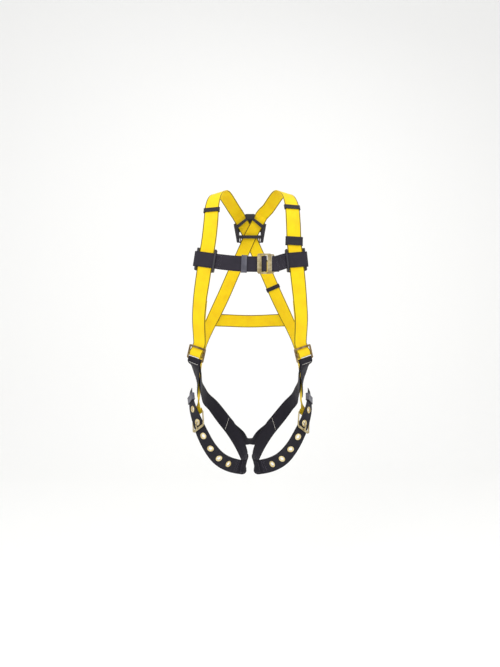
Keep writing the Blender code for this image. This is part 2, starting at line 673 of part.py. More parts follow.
def hip_slide_bar(name, side, metal):
    """Knurled bar that the torso strap turns round; its ears rest on the frame's face."""
    frame = adjuster_frame(side)
    half_v = ADJUSTER_WIDTH / 2 - 0.0058
    reach = ADJUSTER_WIDTH / 2 - 0.0015
    core = block(name, frame, (-SLIDE_BAR_HALF, SLIDE_BAR_HALF - 0.001), (-half_v, half_v),
                 (-0.0016, 0.0024), metal)
    ears = []
    for s in (-1, 1):
        v_span = sorted((s * (WEB_WIDTH / 2 + 0.0012), s * reach))
        ears.append(block(f"{name}_ear_{s}", frame, (-SLIDE_BAR_HALF + 0.0005, SLIDE_BAR_HALF - 0.0015),
                          v_span, (0.0020, 0.0036), metal))
    return pivot_at(united(core, *ears), frame.origin)


def hip_link_strap(name, side, finish):
    """Black strap doubled over the adjuster's lower bar, its two ends sewn at the hip."""
    hip = adjuster_frame(side)
    half = WEB_THICK / 2 + GAP
    bar_u = ADJUSTER_BOTTOM - ADJUSTER_BAR / 2
    radius = ADJUSTER_BAR / 2 + half + 0.0007
    outer = [(0.1700, -0.0620, -0.5850, 0.74, -0.67, 0.0, 0.0),
             (0.1690, -0.0440, -0.6150, 0.93, -0.36, 0.0, 0.0),
             (0.1670, -0.0310, -0.6400, 1.00, -0.02, 0.0, 0.0),
             (0.1670, -0.0200, -0.6620, 1.00, 0.00, 0.0, 0.0)]
    inner = [(0.1610, -0.0600, -0.5800, 0.84, -0.54, 0.0, 0.0),
             (0.1570, -0.0450, -0.6030, 0.99, -0.08, 0.0, 0.0),
             (0.1574, -0.0310, -0.6300, 1.00, 0.00, 0.0, 0.0),
             (0.1562, -0.0190, -0.6520, 1.00, 0.00, 0.0, 0.0)]
    pairs = list(reversed(mirrored(outer, side)))
    pairs.append(hip.run(bar_u + 0.0140, 0.0019))
    pairs += list(reversed(hip.arc(bar_u, 0.0, radius, -180, 0, 8)))
    pairs.append((hip.at(bar_u + 0.0140, 0, -0.0019), -hip.w))
    pairs += [(place, -normal) for place, normal in mirrored(inner, side)]
    return ribbon(name, pairs, finish, step=0.008)


def grommet_strap(name, side, finish):
    """Front half of the leg loop, punched for its eyelets."""
    pairs = mirrored(GROMMET_ROUTE, side)
    strap = ribbon(name, pairs, finish, step=0.008)
    places = leg_loop_places(side)
    punches = []
    for index, distance in enumerate(grommet_distances()):
        centre, _, across, out = at_length(places, distance)
        punches.append(punch(f"{name}_punch_{index}", centre, out, across, finish))
    return cut(strap, *punches)


def punch(name, centre, axis, side, finish):
    """The round hole that an eyelet's barrel passes through."""
    bm = bmesh.new()
    other = axis.cross(side).normalized()
    rings = []
    for height in (-0.005, 0.005):
        ring = []
        for k in range(16):
            angle = 2 * math.pi * k / 16
            spoke = side * math.cos(angle) + other * math.sin(angle)
            ring.append(centre + axis * height + spoke * (GROMMET_HOLE + 0.0012))
        rings.append(ring_loop(bm, ring))
    skin(bm, rings)
    return add_object(name, bm, finish)


def grommet(name, place, finish):
    """A brass eyelet: barrel through the strap, flange on each face."""
    centre, _, across, out = place
    face = WEB_THICK / 2 + 0.0012
    profile = [(GROMMET_HOLE, -face - 0.0004), (GROMMET_OUTER - 0.001, -face - 0.0007),
               (GROMMET_OUTER, -face - 0.0001), (GROMMET_HOLE + 0.0007, -face),
               (GROMMET_HOLE + 0.0007, face), (GROMMET_OUTER, face + 0.0001),
               (GROMMET_OUTER - 0.001, face + 0.0007), (GROMMET_HOLE, face + 0.0004)]
    return turned_ring(name, centre, out, across, profile, finish)


def leg_buckle(side_name, side, metal):
    """Tongue buckle: rectangular ring, roller on its outer bar, prong on its hinge bar."""
    frame = leg_buckle_frame(side)
    half_v = LEG_BUCKLE_WIDTH / 2 - 0.003
    slope = Vector((ROLLER_U - HINGE_U, ROLLER_W - HINGE_W))
    plane = frame.direction(-slope.y, 0, slope.x)
    local = []
    corner = 0.004
    corners = ((HINGE_U, HINGE_W, -1), (HINGE_U, HINGE_W, 1), (ROLLER_U, ROLLER_W, 1),
               (ROLLER_U, ROLLER_W, -1))
    unit = slope.normalized()
    for index, (u, w, s) in enumerate(corners):
        inward = 1 if index < 2 else -1
        for k in range(4):
            angle = math.radians(90 * k / 3)
            lag = corner * (1 - math.cos(angle)), corner * (1 - math.sin(angle))
            if index in (0, 2):
                lag = lag[1], lag[0]
            shift = unit * lag[0] * inward
            local.append((u + shift.x, s * (half_v - lag[1]), w + shift.y))
    path = [(frame.at(u, v, w), plane) for u, v, w in local]
    rod(f"leg_buckle_frame_{side_name}", path, ROLLER_ROD, metal, 8, closed=True)
    roller_profile = [(ROLLER_ROD + GAP, -0.0225), (ROLLER_OUTER, -0.0225),
                      (ROLLER_OUTER, 0.0225), (ROLLER_ROD + GAP, 0.0225)]
    bar = frame.at(ROLLER_U, 0, ROLLER_W)
    roller = turned_ring(f"leg_buckle_roller_{side_name}", bar, frame.v, frame.u, roller_profile,
                         metal, 12)
    pivot_at(roller, bar)
    pivot_at(prong(f"leg_buckle_prong_{side_name}", frame, metal), frame.at(HINGE_U, 0, HINGE_W))


def prong(name, frame, metal):
    """Tongue: an eye round the hinge bar, then out through the eyelet on to the roller."""
    thick, width = 0.0030, 0.0042
    eye = ROLLER_ROD + GAP + thick / 2
    pairs = []
    for k in range(9):
        angle = math.radians(60 - 300 * k / 8)
        out = frame.direction(math.sin(angle), 0, math.cos(angle))
        pairs.append((frame.at(HINGE_U, 0, HINGE_W) + out * eye, out))
    tip_w = ROLLER_W + ROLLER_OUTER + GAP + thick / 2
    for u, w, du, dw in ((-0.0170, -0.0105, -0.30, -1.0), (-0.0080, -0.0078, 0.40, -1.0),
                         (-0.0028, -0.0034, 1.0, -0.75), (0.0028, 0.0034, 1.0, -0.75),
                         (0.0095, tip_w - 0.0012, 0.35, -1.0), (0.0180, tip_w + 0.0002, 0.0, -1.0),
                         (0.0250, tip_w - 0.0004, -0.10, -1.0)):
        pairs.append((frame.at(u, 0, w), frame.direction(du, 0, dw)))
    return ribbon(name, pairs, metal, width=width, thick=thick, step=0.004)


def leg_keeper(name, side, finish):
    """Moulded keeper on the free end of the grommet strap."""
    places = leg_loop_places(side)
    total = sum((b[0] - a[0]).length for a, b in zip(places, places[1:]))
    centre, along, _, out = at_length(places, total - 0.030)
    frame = Frame(centre, along, out)
    keeper = sleeve(name, frame, 0.022, WEB_WIDTH + 0.0046, WEB_THICK + 0.0050, 0.0016, finish)
    return pivot_at(keeper, centre)


def back_waist_strap(finish):
    """Strap across the small of the back, sewn behind both diagonals."""
    pairs = mirrored(WAIST_ROUTE, 1)
    for side in (1, -1):
        diagonal = at_height(sections(mirrored(BACK_ROUTE, -side), 0.004), WAIST_HEIGHT)
        centre, _, _, out = diagonal
        level = Vector((0, 0, 1)).cross(out).normalized()
        level = level if level.x * side > 0 else -level
        base = centre + out * 0.0036
        ends = [(base, out), (base + level * 0.009, out)]
        pairs = pairs + ends if side > 0 else list(reversed(ends)) + pairs
    return ribbon("back_waist_strap", pairs, finish)


def bridge_strap(finish):
    """Sub-pelvic strap: sewn to the back of each rear leg strap, and joins them in the middle."""
    halves = []
    for side in (-1, 1):
        places = sections(mirrored(REAR_LEG_ROUTE, side), 0.006)
        half = []
        for distance, lift in BRIDGE_RUNS:
            centre, _, _, out = at_length(places, distance)
            half.append((centre + out * lift, out))
        halves.append(half)
    pairs = halves[0] + mirrored(BRIDGE_MIDDLE, 1) + list(reversed(halves[1]))
    return ribbon("sub_pelvic_strap", pairs, finish, step=0.008)


def build():
    """Make every sub-part."""
    for old in list(bpy.data.objects):
        bpy.data.objects.remove(old, do_unlink=True)
    yellow = material("yellow_webbing", (0.95, 0.70, 0.02), 0.75)
    black = material("black_webbing", (0.02, 0.018, 0.03), 0.8)
    elastic = material("black_elastic", (0.03, 0.028, 0.04), 0.85)
    plastic = material("black_plastic", (0.03, 0.027, 0.04), 0.45)
    grey = material("grey_plastic", (0.12, 0.12, 0.14), 0.4)
    steel = material("zinc_steel", (0.62, 0.56, 0.42), 0.35, 1.0)
    brass = material("brass", (0.80, 0.62, 0.28), 0.3, 1.0)

    for side_name, side in SIDES:
        torso_strap(f"torso_strap_{side_name}", side, yellow)
        hip_adjuster(f"hip_adjuster_frame_{side_name}", side, steel)
        hip_slide_bar(f"hip_slide_bar_{side_name}", side, steel)
        hip_link_strap(f"hip_link_strap_{side_name}", side, black)
        chest_guide(f"chest_guide_{side_name}", side, plastic)
        ribbon(f"rear_leg_strap_{side_name}", mirrored(REAR_LEG_ROUTE, side), black)
        grommet_strap(f"grommet_strap_{side_name}", side, black)
        leg_buckle(side_name, side, steel)
        leg_keeper(f"leg_keeper_{side_name}", side, grey)
        places = leg_loop_places(side)
        for index, distance in enumerate(grommet_distances()):
            grommet(f"grommet_{side_name}_{index + 1}", at_length(places, distance), brass)
        strap_keeper(f"shoulder_keeper_{side_name}", mirrored(FRONT_ROUTE, side),
                     KEEPER_HEIGHT[side], 0.016, elastic)
    strap_keeper("lanyard_keeper", mirrored(FRONT_ROUTE, 1), LANYARD_KEEPER_HEIGHT, 0.026, elastic,
                 math.radians(6), 0.0022, 0.0050)
    chest_strap_left(black)
    chest_strap_right(black)
    back_waist_strap(yellow)
    dorsal_pad(plastic)
    dorsal_d_ring(steel)
    chest_buckle(steel)
    chest_tail_slider(grey)
    strap_keeper("back_strap_keeper", mirrored(BACK_ROUTE, -1), BACK_KEEPER_HEIGHT, 0.014, elastic)
    bridge_strap(black)


build()
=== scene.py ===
"""Looks of a worn-shape full-body safety harness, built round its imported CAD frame.

Axes are the frame's own: +X is the wearer's left, -Y the wearer's front, +Z up, in metres.
Every strap follows the route of its CAD solid, with the thickness, selvedges, weave and
stitching of real webbing, and every piece of hardware replaces its plain CAD solid.
"""

import logging
import math
from dataclasses import dataclass, field
from enum import Enum
from typing import Any, Iterable, Optional, Union

import bmesh
import bpy
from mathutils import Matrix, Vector


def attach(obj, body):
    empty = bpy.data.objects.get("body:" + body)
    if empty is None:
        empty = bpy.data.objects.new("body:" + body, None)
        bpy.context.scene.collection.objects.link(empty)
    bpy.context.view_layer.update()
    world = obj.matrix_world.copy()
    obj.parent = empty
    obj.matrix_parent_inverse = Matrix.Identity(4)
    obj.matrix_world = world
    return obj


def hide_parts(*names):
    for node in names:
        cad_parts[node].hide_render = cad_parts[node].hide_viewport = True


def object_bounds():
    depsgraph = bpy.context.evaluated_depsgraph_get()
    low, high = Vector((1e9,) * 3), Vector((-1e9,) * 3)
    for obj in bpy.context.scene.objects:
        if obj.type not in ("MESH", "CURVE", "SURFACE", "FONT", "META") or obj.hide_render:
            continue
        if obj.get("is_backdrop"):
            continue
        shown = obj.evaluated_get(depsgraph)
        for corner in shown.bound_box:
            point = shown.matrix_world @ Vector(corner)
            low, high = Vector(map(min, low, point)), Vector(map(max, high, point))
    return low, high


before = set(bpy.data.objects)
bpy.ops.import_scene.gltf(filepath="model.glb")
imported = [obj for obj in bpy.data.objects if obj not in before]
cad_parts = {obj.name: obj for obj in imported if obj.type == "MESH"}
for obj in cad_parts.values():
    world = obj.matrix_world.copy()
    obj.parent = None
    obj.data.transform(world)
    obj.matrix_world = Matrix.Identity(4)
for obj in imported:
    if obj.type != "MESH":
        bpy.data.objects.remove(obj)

LOG = logging.getLogger("harness")

# Driving sizes that several sub-assemblies share ----------------------------------------
WEB_WIDTH = 0.045
WEB_THICK = 0.0019
CLEARANCE = 0.0003
UPPER_LEAN = 0.0062
LEG_SPREAD = {1: 1.025, -1: 0.985}
PAD_TILT = math.radians(12.4)
CROSSING = Vector((0.0, 0.1190, -0.1220))
BACK_LAYERING = 0.0015
CHEST_HEIGHT = -0.2470
ROD_FACETS = 20
STRAP_STEP = 0.002          # places along a drawn strap
LEG_STEP = 0.006            # places along a leg strap, as in the CAD
HEIGHT_STEP = 0.004         # places searched by height, as in the CAD
TURN_ROW = 0.003            # mesh rows of a strap with tight turns
EYELETS = tuple(0.079 + 0.0455 * i for i in range(6))   # distances from the crotch end
USED_EYELET = 4

Pair = tuple[Vector, Vector]
Route = list[tuple[float, ...]]
Point2 = tuple[float, float]

# Webbing routes on the wearer's left: x, y, z, outward normal, share of UPPER_LEAN if any ---
FRONT_ROUTE: Route = [
    (0.1560, -0.1010, -0.4270, 0.38, -0.92, 0.00, 0.0),
    (0.1509, -0.1100, -0.3670, 0.26, -0.96, 0.04, 0.0),
    (0.1430, -0.1174, -0.3075, 0.12, -0.99, 0.01, 0.2),
    (0.1352, -0.1180, -0.2480, 0.11, -0.99, 0.00, 0.4),
    (0.1275, -0.1178, -0.1880, 0.10, -0.99, 0.01, 0.7),
    (0.1240, -0.1110, -0.1316, 0.10, -0.975, 0.20, 1.0),
    (0.1222, -0.0880, -0.0760, 0.18, -0.85, 0.50, 1.0),
    (0.1145, -0.0560, -0.0340, 0.26, -0.60, 0.76, 0.9),
    (0.1020, -0.0200, -0.0115, 0.26, -0.20, 0.94, 0.8),
    (0.0895, 0.0140, -0.0065, 0.22, 0.18, 0.95, 0.7),
    (0.0740, 0.0500, -0.0190, 0.16, 0.55, 0.81, 0.6),
    (0.0600, 0.0765, -0.0340, 0.10, 0.74, 0.66, 0.5),
]
BACK_ROUTE: Route = [
    (-0.0185, 0.1270, -0.1620, 0.00, 0.99, 0.12),
    (-0.0385, 0.1300, -0.2050, 0.00, 1.00, 0.02),
    (-0.0580, 0.1295, -0.2466, 0.00, 1.00, 0.00),
    (-0.0920, 0.1200, -0.3270, -0.15, 0.98, 0.00),
    (-0.1213, 0.1010, -0.3940, -0.40, 0.91, 0.00),
    (-0.1430, 0.0720, -0.4470, -0.66, 0.74, 0.00),
    (-0.1570, 0.0360, -0.4980, -0.88, 0.46, 0.00),
    (-0.1625, 0.0130, -0.5450, -0.98, 0.20, 0.00),
    (-0.1640, 0.0000, -0.5850, -1.00, 0.00, 0.00),
    (-0.1640, -0.0130, -0.6250, -1.00, 0.00, 0.00),
    (-0.1640, -0.0260, -0.6620, -1.00, 0.00, 0.00),
    (-0.1645, -0.0340, -0.6800, -1.00, -0.05, 0.00),
]
WAIST_ROUTE: Route = [
    (-0.0850, 0.1305, -0.4210, -0.22, 0.97, 0.00),
    (-0.0400, 0.1385, -0.4228, -0.08, 0.99, 0.00),
    (0.0000, 0.1405, -0.4235, 0.00, 1.00, 0.00),
    (0.0400, 0.1385, -0.4228, 0.08, 0.99, 0.00),
    (0.0850, 0.1305, -0.4210, 0.22, 0.97, 0.00),
]
WAIST_HEIGHT = -0.4185
REAR_LEG_ROUTE: Route = [
    (0.1612, -0.0170, -0.6120, 1.00, 0.00, 0.00),
    (0.1610, -0.0010, -0.6380, 1.00, 0.00, 0.00),
    (0.1558, 0.0180, -0.6640, 0.97, 0.22, -0.02),
    (0.1490, 0.0430, -0.6900, 0.80, 0.58, -0.14),
    (0.1286, 0.0730, -0.7200, 0.45, 0.84, -0.28),
    (0.0990, 0.0930, -0.7640, 0.05, 0.94, -0.34),
    (0.0640, 0.0920, -0.8090, -0.30, 0.90, -0.32),
    (0.0375, 0.0720, -0.8490, -0.56, 0.80, -0.18),
    (0.0195, 0.0400, -0.8820, -0.76, 0.64, -0.10),
    (0.0130, 0.0070, -0.9010, -0.93, 0.36, 0.00),
]
GROMMET_ROUTE: Route = [
    (0.0180, 0.0050, -0.9085, -0.86, -0.50, 0.00),
    (0.0405, -0.0190, -0.8990, -0.62, -0.78, 0.00),
    (0.0718, -0.0500, -0.8794, -0.36, -0.93, -0.05),
    (0.1000, -0.0750, -0.8530, -0.05, -0.99, -0.08),
    (0.1255, -0.0900, -0.8160, 0.28, -0.95, -0.04),
    (0.1465, -0.0930, -0.7764, 0.46, -0.88, 0.00),
    (0.1655, -0.0800, -0.7388, 0.65, -0.76, 0.00),
    (0.1815, -0.0590, -0.7033, 0.80, -0.59, 0.00),
    (0.1885, -0.0400, -0.6680, 0.92, -0.38, 0.00),
    (0.1890, -0.0310, -0.6480, 0.96, -0.28, 0.00),
]
BRIDGE_MIDDLE: Route = [
    (-0.0190, 0.0990, -0.8440, 0.22, 0.42, -0.88),
    (0.0000, 0.1000, -0.8490, 0.00, 0.20, -0.98),
    (0.0190, 0.0990, -0.8440, -0.22, 0.42, -0.88),
]
BRIDGE_RUNS = ((0.222, 0.0062), (0.240, 0.0046), (0.258, 0.0040))


class Side(Enum):
    """A side of the wearer, with the sign of its X."""

    LEFT = 1
    RIGHT = -1

    @property
    def word(self) -> str:
        """The side's name as the CAD nodes spell it."""
        return self.name.lower()

    @property
    def other(self) -> "Side":
        """The opposite side."""
        return Side(-self.value)


class Face(Enum):
    """A face of a strap: the outer one looks away from the wearer."""

    OUTER = 1
    INNER = -1


# Geometry -------------------------------------------------------------------------------
@dataclass(frozen=True)
class Section:
    """One place along a strap: its centre and its own three axes."""

    centre: Vector
    along: Vector
    across: Vector
    out: Vector


def leg_spread(side: int, z: float) -> float:
    """How much wider than drawn the leg loop hangs.

    Args:
        side: 1 for the wearer's left, -1 for the right.
        z: The height, in metres.

    Returns:
        The factor on the distance from the middle.
    """
    share = min(max((-0.665 - z) / 0.06, 0.0), 1.0)
    return 1.0 + (LEG_SPREAD[side] - 1.0) * share


def mirrored(points: Route, side: int) -> list[Pair]:
    """Place a route on one side of the wearer.

    Args:
        points: The route on the wearer's left.
        side: 1 for the left, -1 for the right.

    Returns:
        Pairs of position and outward normal.
    """
    pairs: list[Pair] = []
    for x, y, z, nx, ny, nz, *lean in points:
        place = Vector((side * x * leg_spread(side, z) + UPPER_LEAN * sum(lean), y, z))
        pairs.append((place, Vector((side * nx, ny, nz)).normalized()))
    return pairs


def cubic(a: Vector, b: Vector, c: Vector, d: Vector, t: float) -> Vector:
    """Interpolate smoothly between two middle points.

    Args:
        a: The point before.
        b: The start.
        c: The end.
        d: The point after.
        t: Share of the way, from 0 to 1.

    Returns:
        The Catmull-Rom point.
    """
    return 0.5 * ((2 * b) + (c - a) * t + (2 * a - 5 * b + 4 * c - d) * t * t
                  + (3 * b - a - 3 * c + d) * t * t * t)


def sections(pairs: list[Pair], step: float) -> list[Section]:
    """Cut a smooth strap line into places.

    Args:
        pairs: Control points with their normals.
        step: Longest distance between two places.

    Returns:
        The places in order.
    """
    count = len(pairs)
    raw: list[Pair] = []
    for i in range(count - 1):
        p = [pairs[min(max(i + k, 0), count - 1)] for k in (-1, 0, 1, 2)]
        if i == 0:
            p[0] = (2 * p[1][0] - p[2][0], p[1][1])
        if i == count - 2:
            p[3] = (2 * p[2][0] - p[1][0], p[2][1])
        spans = max(1, math.ceil((p[2][0] - p[1][0]).length / step))
        for k in range(spans):
            t = k / spans
            centre = cubic(p[0][0], p[1][0], p[2][0], p[3][0], t)
            normal = cubic(p[0][1], p[1][1], p[2][1], p[3][1], t)
            raw.append((centre, normal))
    raw.append(pairs[-1])
    result: list[Section] = []
    for i, (centre, normal) in enumerate(raw):
        along = (raw[min(i + 1, len(raw) - 1)][0] - raw[max(i - 1, 0)][0]).normalized()
        across = along.cross(normal).normalized()
        result.append(Section(centre, along, across, across.cross(along).normalized()))
    return result


def run_length(places: list[Section]) -> float:
    """The length of a run of places."""
    return sum((b.centre - a.centre).length for a, b in zip(places, places[1:]))


def at_length(places: list[Section], distance: float) -> Section:
    """Find the place at a distance along a strap.

    Args:
        places: The strap's places.
        distance: Metres from the first place.

    Returns:
        The place there, or the last one.
    """
    travelled = 0.0
    for first, second in zip(places, places[1:]):
        span = (second.centre - first.centre).length
        if travelled + span >= distance:
            t = (distance - travelled) / span if span else 0.0
            return Section(first.centre.lerp(second.centre, t),
                           first.along.lerp(second.along, t).normalized(),
                           first.across.lerp(second.across, t).normalized(),
                           first.out.lerp(second.out, t).normalized())
        travelled += span
    return places[-1]


def at_height(places: list[Section], z: float) -> Section:
    """The place nearest to a height."""
    return min(places, key=lambda place: abs(place.centre.z - z))


class Axes:
    """A right-handed set of axes: u along, v across, w out of the surface."""

    def __init__(self, origin: Iterable[float], along: Iterable[float], out: Iterable[float]) -> None:
        """Set up the axes.

        Args:
            origin: Where they meet.
            along: Direction of u.
            out: Rough direction of w.
        """
        self.origin = Vector(origin)
        self.u = Vector(along).normalized()
        self.v = self.u.cross(Vector(out)).normalized()
        self.w = self.v.cross(self.u).normalized()

    def at(self, u: float, v: float, w: float) -> Vector:
        """The world place of a local point."""
        return self.origin + self.u * u + self.v * v + self.w * w

    def direction(self, u: float, v: float, w: float) -> Vector:
        """The world direction of a local one."""
        return (self.u * u + self.v * v + self.w * w).normalized()

    def arc(self, u: float, w: float, radius: float, start: float, end: float,
            steps: int) -> list[Pair]:
        """Strap points round a bar along v.

        Args:
            u: The bar's place along u.
            w: The bar's place along w.
            radius: Distance of the strap's middle from the bar's.
            start: First angle in degrees; 0 is out, 90 is along u.
            end: Last angle in degrees.
            steps: How many steps to take.

        Returns:
            The points with their normals.
        """
        points: list[Pair] = []
        for k in range(steps + 1):
            angle = math.radians(start + (end - start) * k / steps)
            out = self.direction(math.sin(angle), 0, math.cos(angle))
            points.append((self.at(u, 0, w) + out * radius, out))
        return points

    def run(self, u: float, w: float, out: int = 1) -> Pair:
        """A strap point lying flat in these axes, facing out (+1) or in (-1)."""
        return (self.at(u, 0, w), self.w * out)


def rounded(u_low: float, u_high: float, v_low: float, v_high: float, radius: float,
            steps: int = 6) -> list[Point2]:
    """Outline a rectangle with round corners.

    Args:
        u_low: Lowest u.
        u_high: Highest u.
        v_low: Lowest v.
        v_high: Highest v.
        radius: Corner radius.
        steps: Facets to a corner.

    Returns:
        The (u, v) points in order.
    """
    points: list[Point2] = []
    corners = ((u_high, v_high, 0), (u_low, v_high, 90), (u_low, v_low, 180), (u_high, v_low, 270))
    for u, v, start in corners:
        centre_u = u - math.copysign(radius, u - (u_low + u_high) / 2)
        centre_v = v - math.copysign(radius, v - (v_low + v_high) / 2)
        for k in range(steps + 1):
            angle = math.radians(start + 90 * k / steps)
            points.append((centre_u + radius * math.cos(angle), centre_v + radius * math.sin(angle)))
    return points


def softened(corners: list[Point2], radius: float) -> list[Point2]:
    """Round the corners of any outline.

    Args:
        corners: The outline's corners in order.
        radius: Distance from each corner at which its curve starts.

    Returns:
        The outline with curved corners.
    """
    points: list[Point2] = []
    count = len(corners)
    for i, corner in enumerate(corners):
        here = Vector(corner)
        before = Vector(corners[i - 1]) - here
        after = Vector(corners[(i + 1) % count]) - here
        reach = min(radius, before.length * 0.45, after.length * 0.45)
        start, end = here + before.normalized() * reach, here + after.normalized() * reach
        for t in (0.0, 0.25, 0.5, 0.75, 1.0):
            place = start.lerp(here, t).lerp(here.lerp(end, t), t)
            points.append((place.x, place.y))
    return points


# Meshes ---------------------------------------------------------------------------------
def put(name: str, data: Any) -> bpy.types.Object:
    """Put a mesh, lamp or camera in the scene.

    Args:
        name: The object's name.
        data: What it holds.

    Returns:
        The object.
    """
    made = bpy.data.objects.new(name, data)
    bpy.context.scene.collection.objects.link(made)
    return made


def finish_mesh(name: str, bm: bmesh.types.BMesh, sharp: float) -> bpy.types.Object:
    """Turn a bmesh into a smooth-shaded object.

    Args:
        name: The piece's name.
        bm: The mesh, which is freed.
        sharp: Angle in degrees above which an edge stays crisp.

    Returns:
        The new object.
    """
    bmesh.ops.recalc_face_normals(bm, faces=bm.faces)
    mesh = bpy.data.meshes.new(name)
    bm.to_mesh(mesh)
    bm.free()
    mesh.shade_smooth()
    mesh.set_sharp_from_angle(angle=math.radians(sharp))
    return put(name, mesh)


def skin(bm: bmesh.types.BMesh, rings: list[list[Any]], closed: bool = False) -> None:
    """Join rings of equal count with quads.

    Args:
        bm: The mesh to add to.
        rings: Rings of vertices.
        closed: Join the last ring to the first, in place of capping both ends.
    """
    pairs = list(zip(rings, rings[1:]))
    if closed:
        pairs.append((rings[-1], rings[0]))
    for first, second in pairs:
        for i in range(len(first)):
            j = (i + 1) % len(first)
            bm.faces.new((first[i], first[j], second[j], second[i]))
    if not closed:
        bm.faces.new(rings[0])
        bm.faces.new(list(reversed(rings[-1])))


def plate(name: str, axes: Axes, outline: list[Point2], holes: list[list[Point2]], low: float,
          high: float, bevel: float = 0.0004) -> bpy.types.Object:
    """Make a stamped or moulded plate with eased edges.

    Args:
        name: The piece's name.
        axes: Axes whose u-v plane the plate lies in.
        outline: Its outer (u, v) outline.
        holes: Outlines of its windows.
        low: Lowest w.
        high: Highest w.
        bevel: Width of the eased edge.

    Returns:
        The plate.
    """
    bm = bmesh.new()
    edges = []
    for loop in [outline] + holes:
        verts = [bm.verts.new(axes.at(u, v, low)) for u, v in loop]
        edges += [bm.edges.new((verts[i - 1], verts[i])) for i in range(len(verts))]
    filled = bmesh.ops.triangle_fill(bm, use_beauty=True, use_dissolve=False, edges=edges)
    faces = [item for item in filled["geom"] if isinstance(item, bmesh.types.BMFace)]
    grown = bmesh.ops.extrude_face_region(bm, geom=faces)
    moved = [item for item in grown["geom"] if isinstance(item, bmesh.types.BMVert)]
    bmesh.ops.translate(bm, verts=moved, vec=axes.w * (high - low))
    bmesh.ops.recalc_face_normals(bm, faces=bm.faces)
    rims = [edge for edge in bm.edges
            if len(edge.link_faces) == 2 and edge.calc_face_angle(0.0) > math.radians(60)]
    bmesh.ops.bevel(bm, geom=rims, offset=bevel, segments=3, profile=0.6, affect="EDGES",
                    clamp_overlap=True)
    made = finish_mesh(name, bm, 50.0)
    even = made.modifiers.new("even_shading", "WEIGHTED_NORMAL")
    even.keep_sharp = True
    return made


def rod(name: str, path: list[Pair], radius: float) -> bpy.types.Object:
    """Sweep a round bar along a closed planar path.

    Args:
        name: The piece's name.
        path: Places with the normal of the path's plane.
        radius: The bar's radius.

    Returns:
        The rod.
    """
    bm = bmesh.new()
    rings = []
    count = len(path)
    for i, (place, plane) in enumerate(path):
        travel = path[(i + 1) % count][0] - path[i - 1][0]
        side = travel.normalized().cross(plane).normalized()
        ring = []
        for k in range(ROD_FACETS):
            angle = 2 * math.pi * (k + 0.5) / ROD_FACETS
            ring.append(bm.verts.new(place + side * radius * math.cos(angle)
                                     + plane * radius * math.sin(angle)))
        rings.append(ring)
    skin(bm, rings, closed=True)
    return finish_mesh(name, bm, 60.0)


def turned(name: str, centre: Vector, axis: Vector, side: Vector, profile: list[Point2],
           facets: int) -> bpy.types.Object:
    """Turn a closed profile about an axis.

    Args:
        name: The piece's name.
        centre: A point on the axis.
        axis: The axis.
        side: A direction square to it.
        profile: Closed list of (radius, height).
        facets: Facets to a turn.

    Returns:
        The ring.
    """
    bm = bmesh.new()
    other = axis.cross(side).normalized()
    rings = []
    for k in range(facets):
        angle = 2 * math.pi * k / facets
        spoke = side * math.cos(angle) + other * math.sin(angle)
        rings.append([bm.verts.new(centre + spoke * r + axis * h) for r, h in profile])
    skin(bm, rings, closed=True)
    return finish_mesh(name, bm, 42.0)


PLACE = "strap_place"


def mark_places(mesh: bpy.types.Mesh, places: list[tuple[float, float, float]]) -> None:
    """Store where each vertex lies on its cloth, for the weave to follow.

    Args:
        mesh: The mesh.
        places: Across, along and face for each vertex, in metres.
    """
    layer = mesh.attributes.new(PLACE, "FLOAT_VECTOR", "POINT")
    layer.data.foreach_set("vector", [value for place in places for value in place])


def sleeve(name: str, axes: Axes, length: float, inner_v: float, inner_w: float, wall: float,
           lip: float = 0.0) -> bpy.types.Object:
    """Make a keeper: a short flat tube round a strap that runs along u.

    Args:
        name: The piece's name.
        axes: Axes at its middle.
        length: Its length along the strap.
        inner_v: Its opening's width.
        inner_w: Its opening's height.
        wall: Its wall.
        lip: How far its two edges stand proud of the wall.

    Returns:
        The sleeve.
    """
    half = length / 2
    ease = min(wall * 0.45, 0.0007)
    band = max(length * 0.12, 0.0016)
    profile = [(-half + ease, 0.0), (half - ease, 0.0), (half, ease), (half, wall + lip - ease),
               (half - ease, wall + lip), (half - band, wall + lip), (half - band * 1.4, wall),
               (0.0, wall + lip * 0.2), (-half + band * 1.4, wall), (-half + band, wall + lip),
               (-half + ease, wall + lip), (-half, wall + lip - ease), (-half, ease)]
    corner = min(inner_w * 0.48, 0.0022)
    outline = rounded(-inner_w / 2, inner_w / 2, -inner_v / 2, inner_v / 2, corner, 5)
    centres: list[Point2] = []
    for w, v in outline:
        centres.append((max(min(w, inner_w / 2 - corner), corner - inner_w / 2),
                        max(min(v, inner_v / 2 - corner), corner - inner_v / 2)))
    bm = bmesh.new()
    rings = []
    marks = []
    travelled = 0.0
    for i, ((w, v), (cw, cv)) in enumerate(zip(outline, centres)):
        normal = Vector((w - cw, v - cv)).normalized()
        travelled += (Vector(outline[i]) - Vector(outline[i - 1])).length if i else 0.0
        rings.append([bm.verts.new(axes.at(u, v + normal.y * g, w + normal.x * g))
                      for u, g in profile])
        marks += [(u, travelled, 1.0) for u, _ in profile]
    skin(bm, rings, closed=True)
    made = finish_mesh(name, bm, 50.0)
    mark_places(made.data, marks)
    return made


@dataclass(frozen=True)
class Opening:
    """A hole cut through a strap: where along it, and its half length and half width."""

    distance: float
    half_length: float
    half_width: float


# Half-thickness of the webbing at shares of its half-width: a rolled selvedge, the groove
# beside it, and a body a little thinner than the selvedge.
WEB_PROFILE = ((0.0, 1.0), (0.15, 1.0), (0.45, 0.99), (0.68, 0.97), (0.82, 0.94), (0.865, 0.78),
               (0.90, 0.96), (0.935, 1.04), (0.965, 1.0), (0.988, 0.78), (1.0, 0.38))


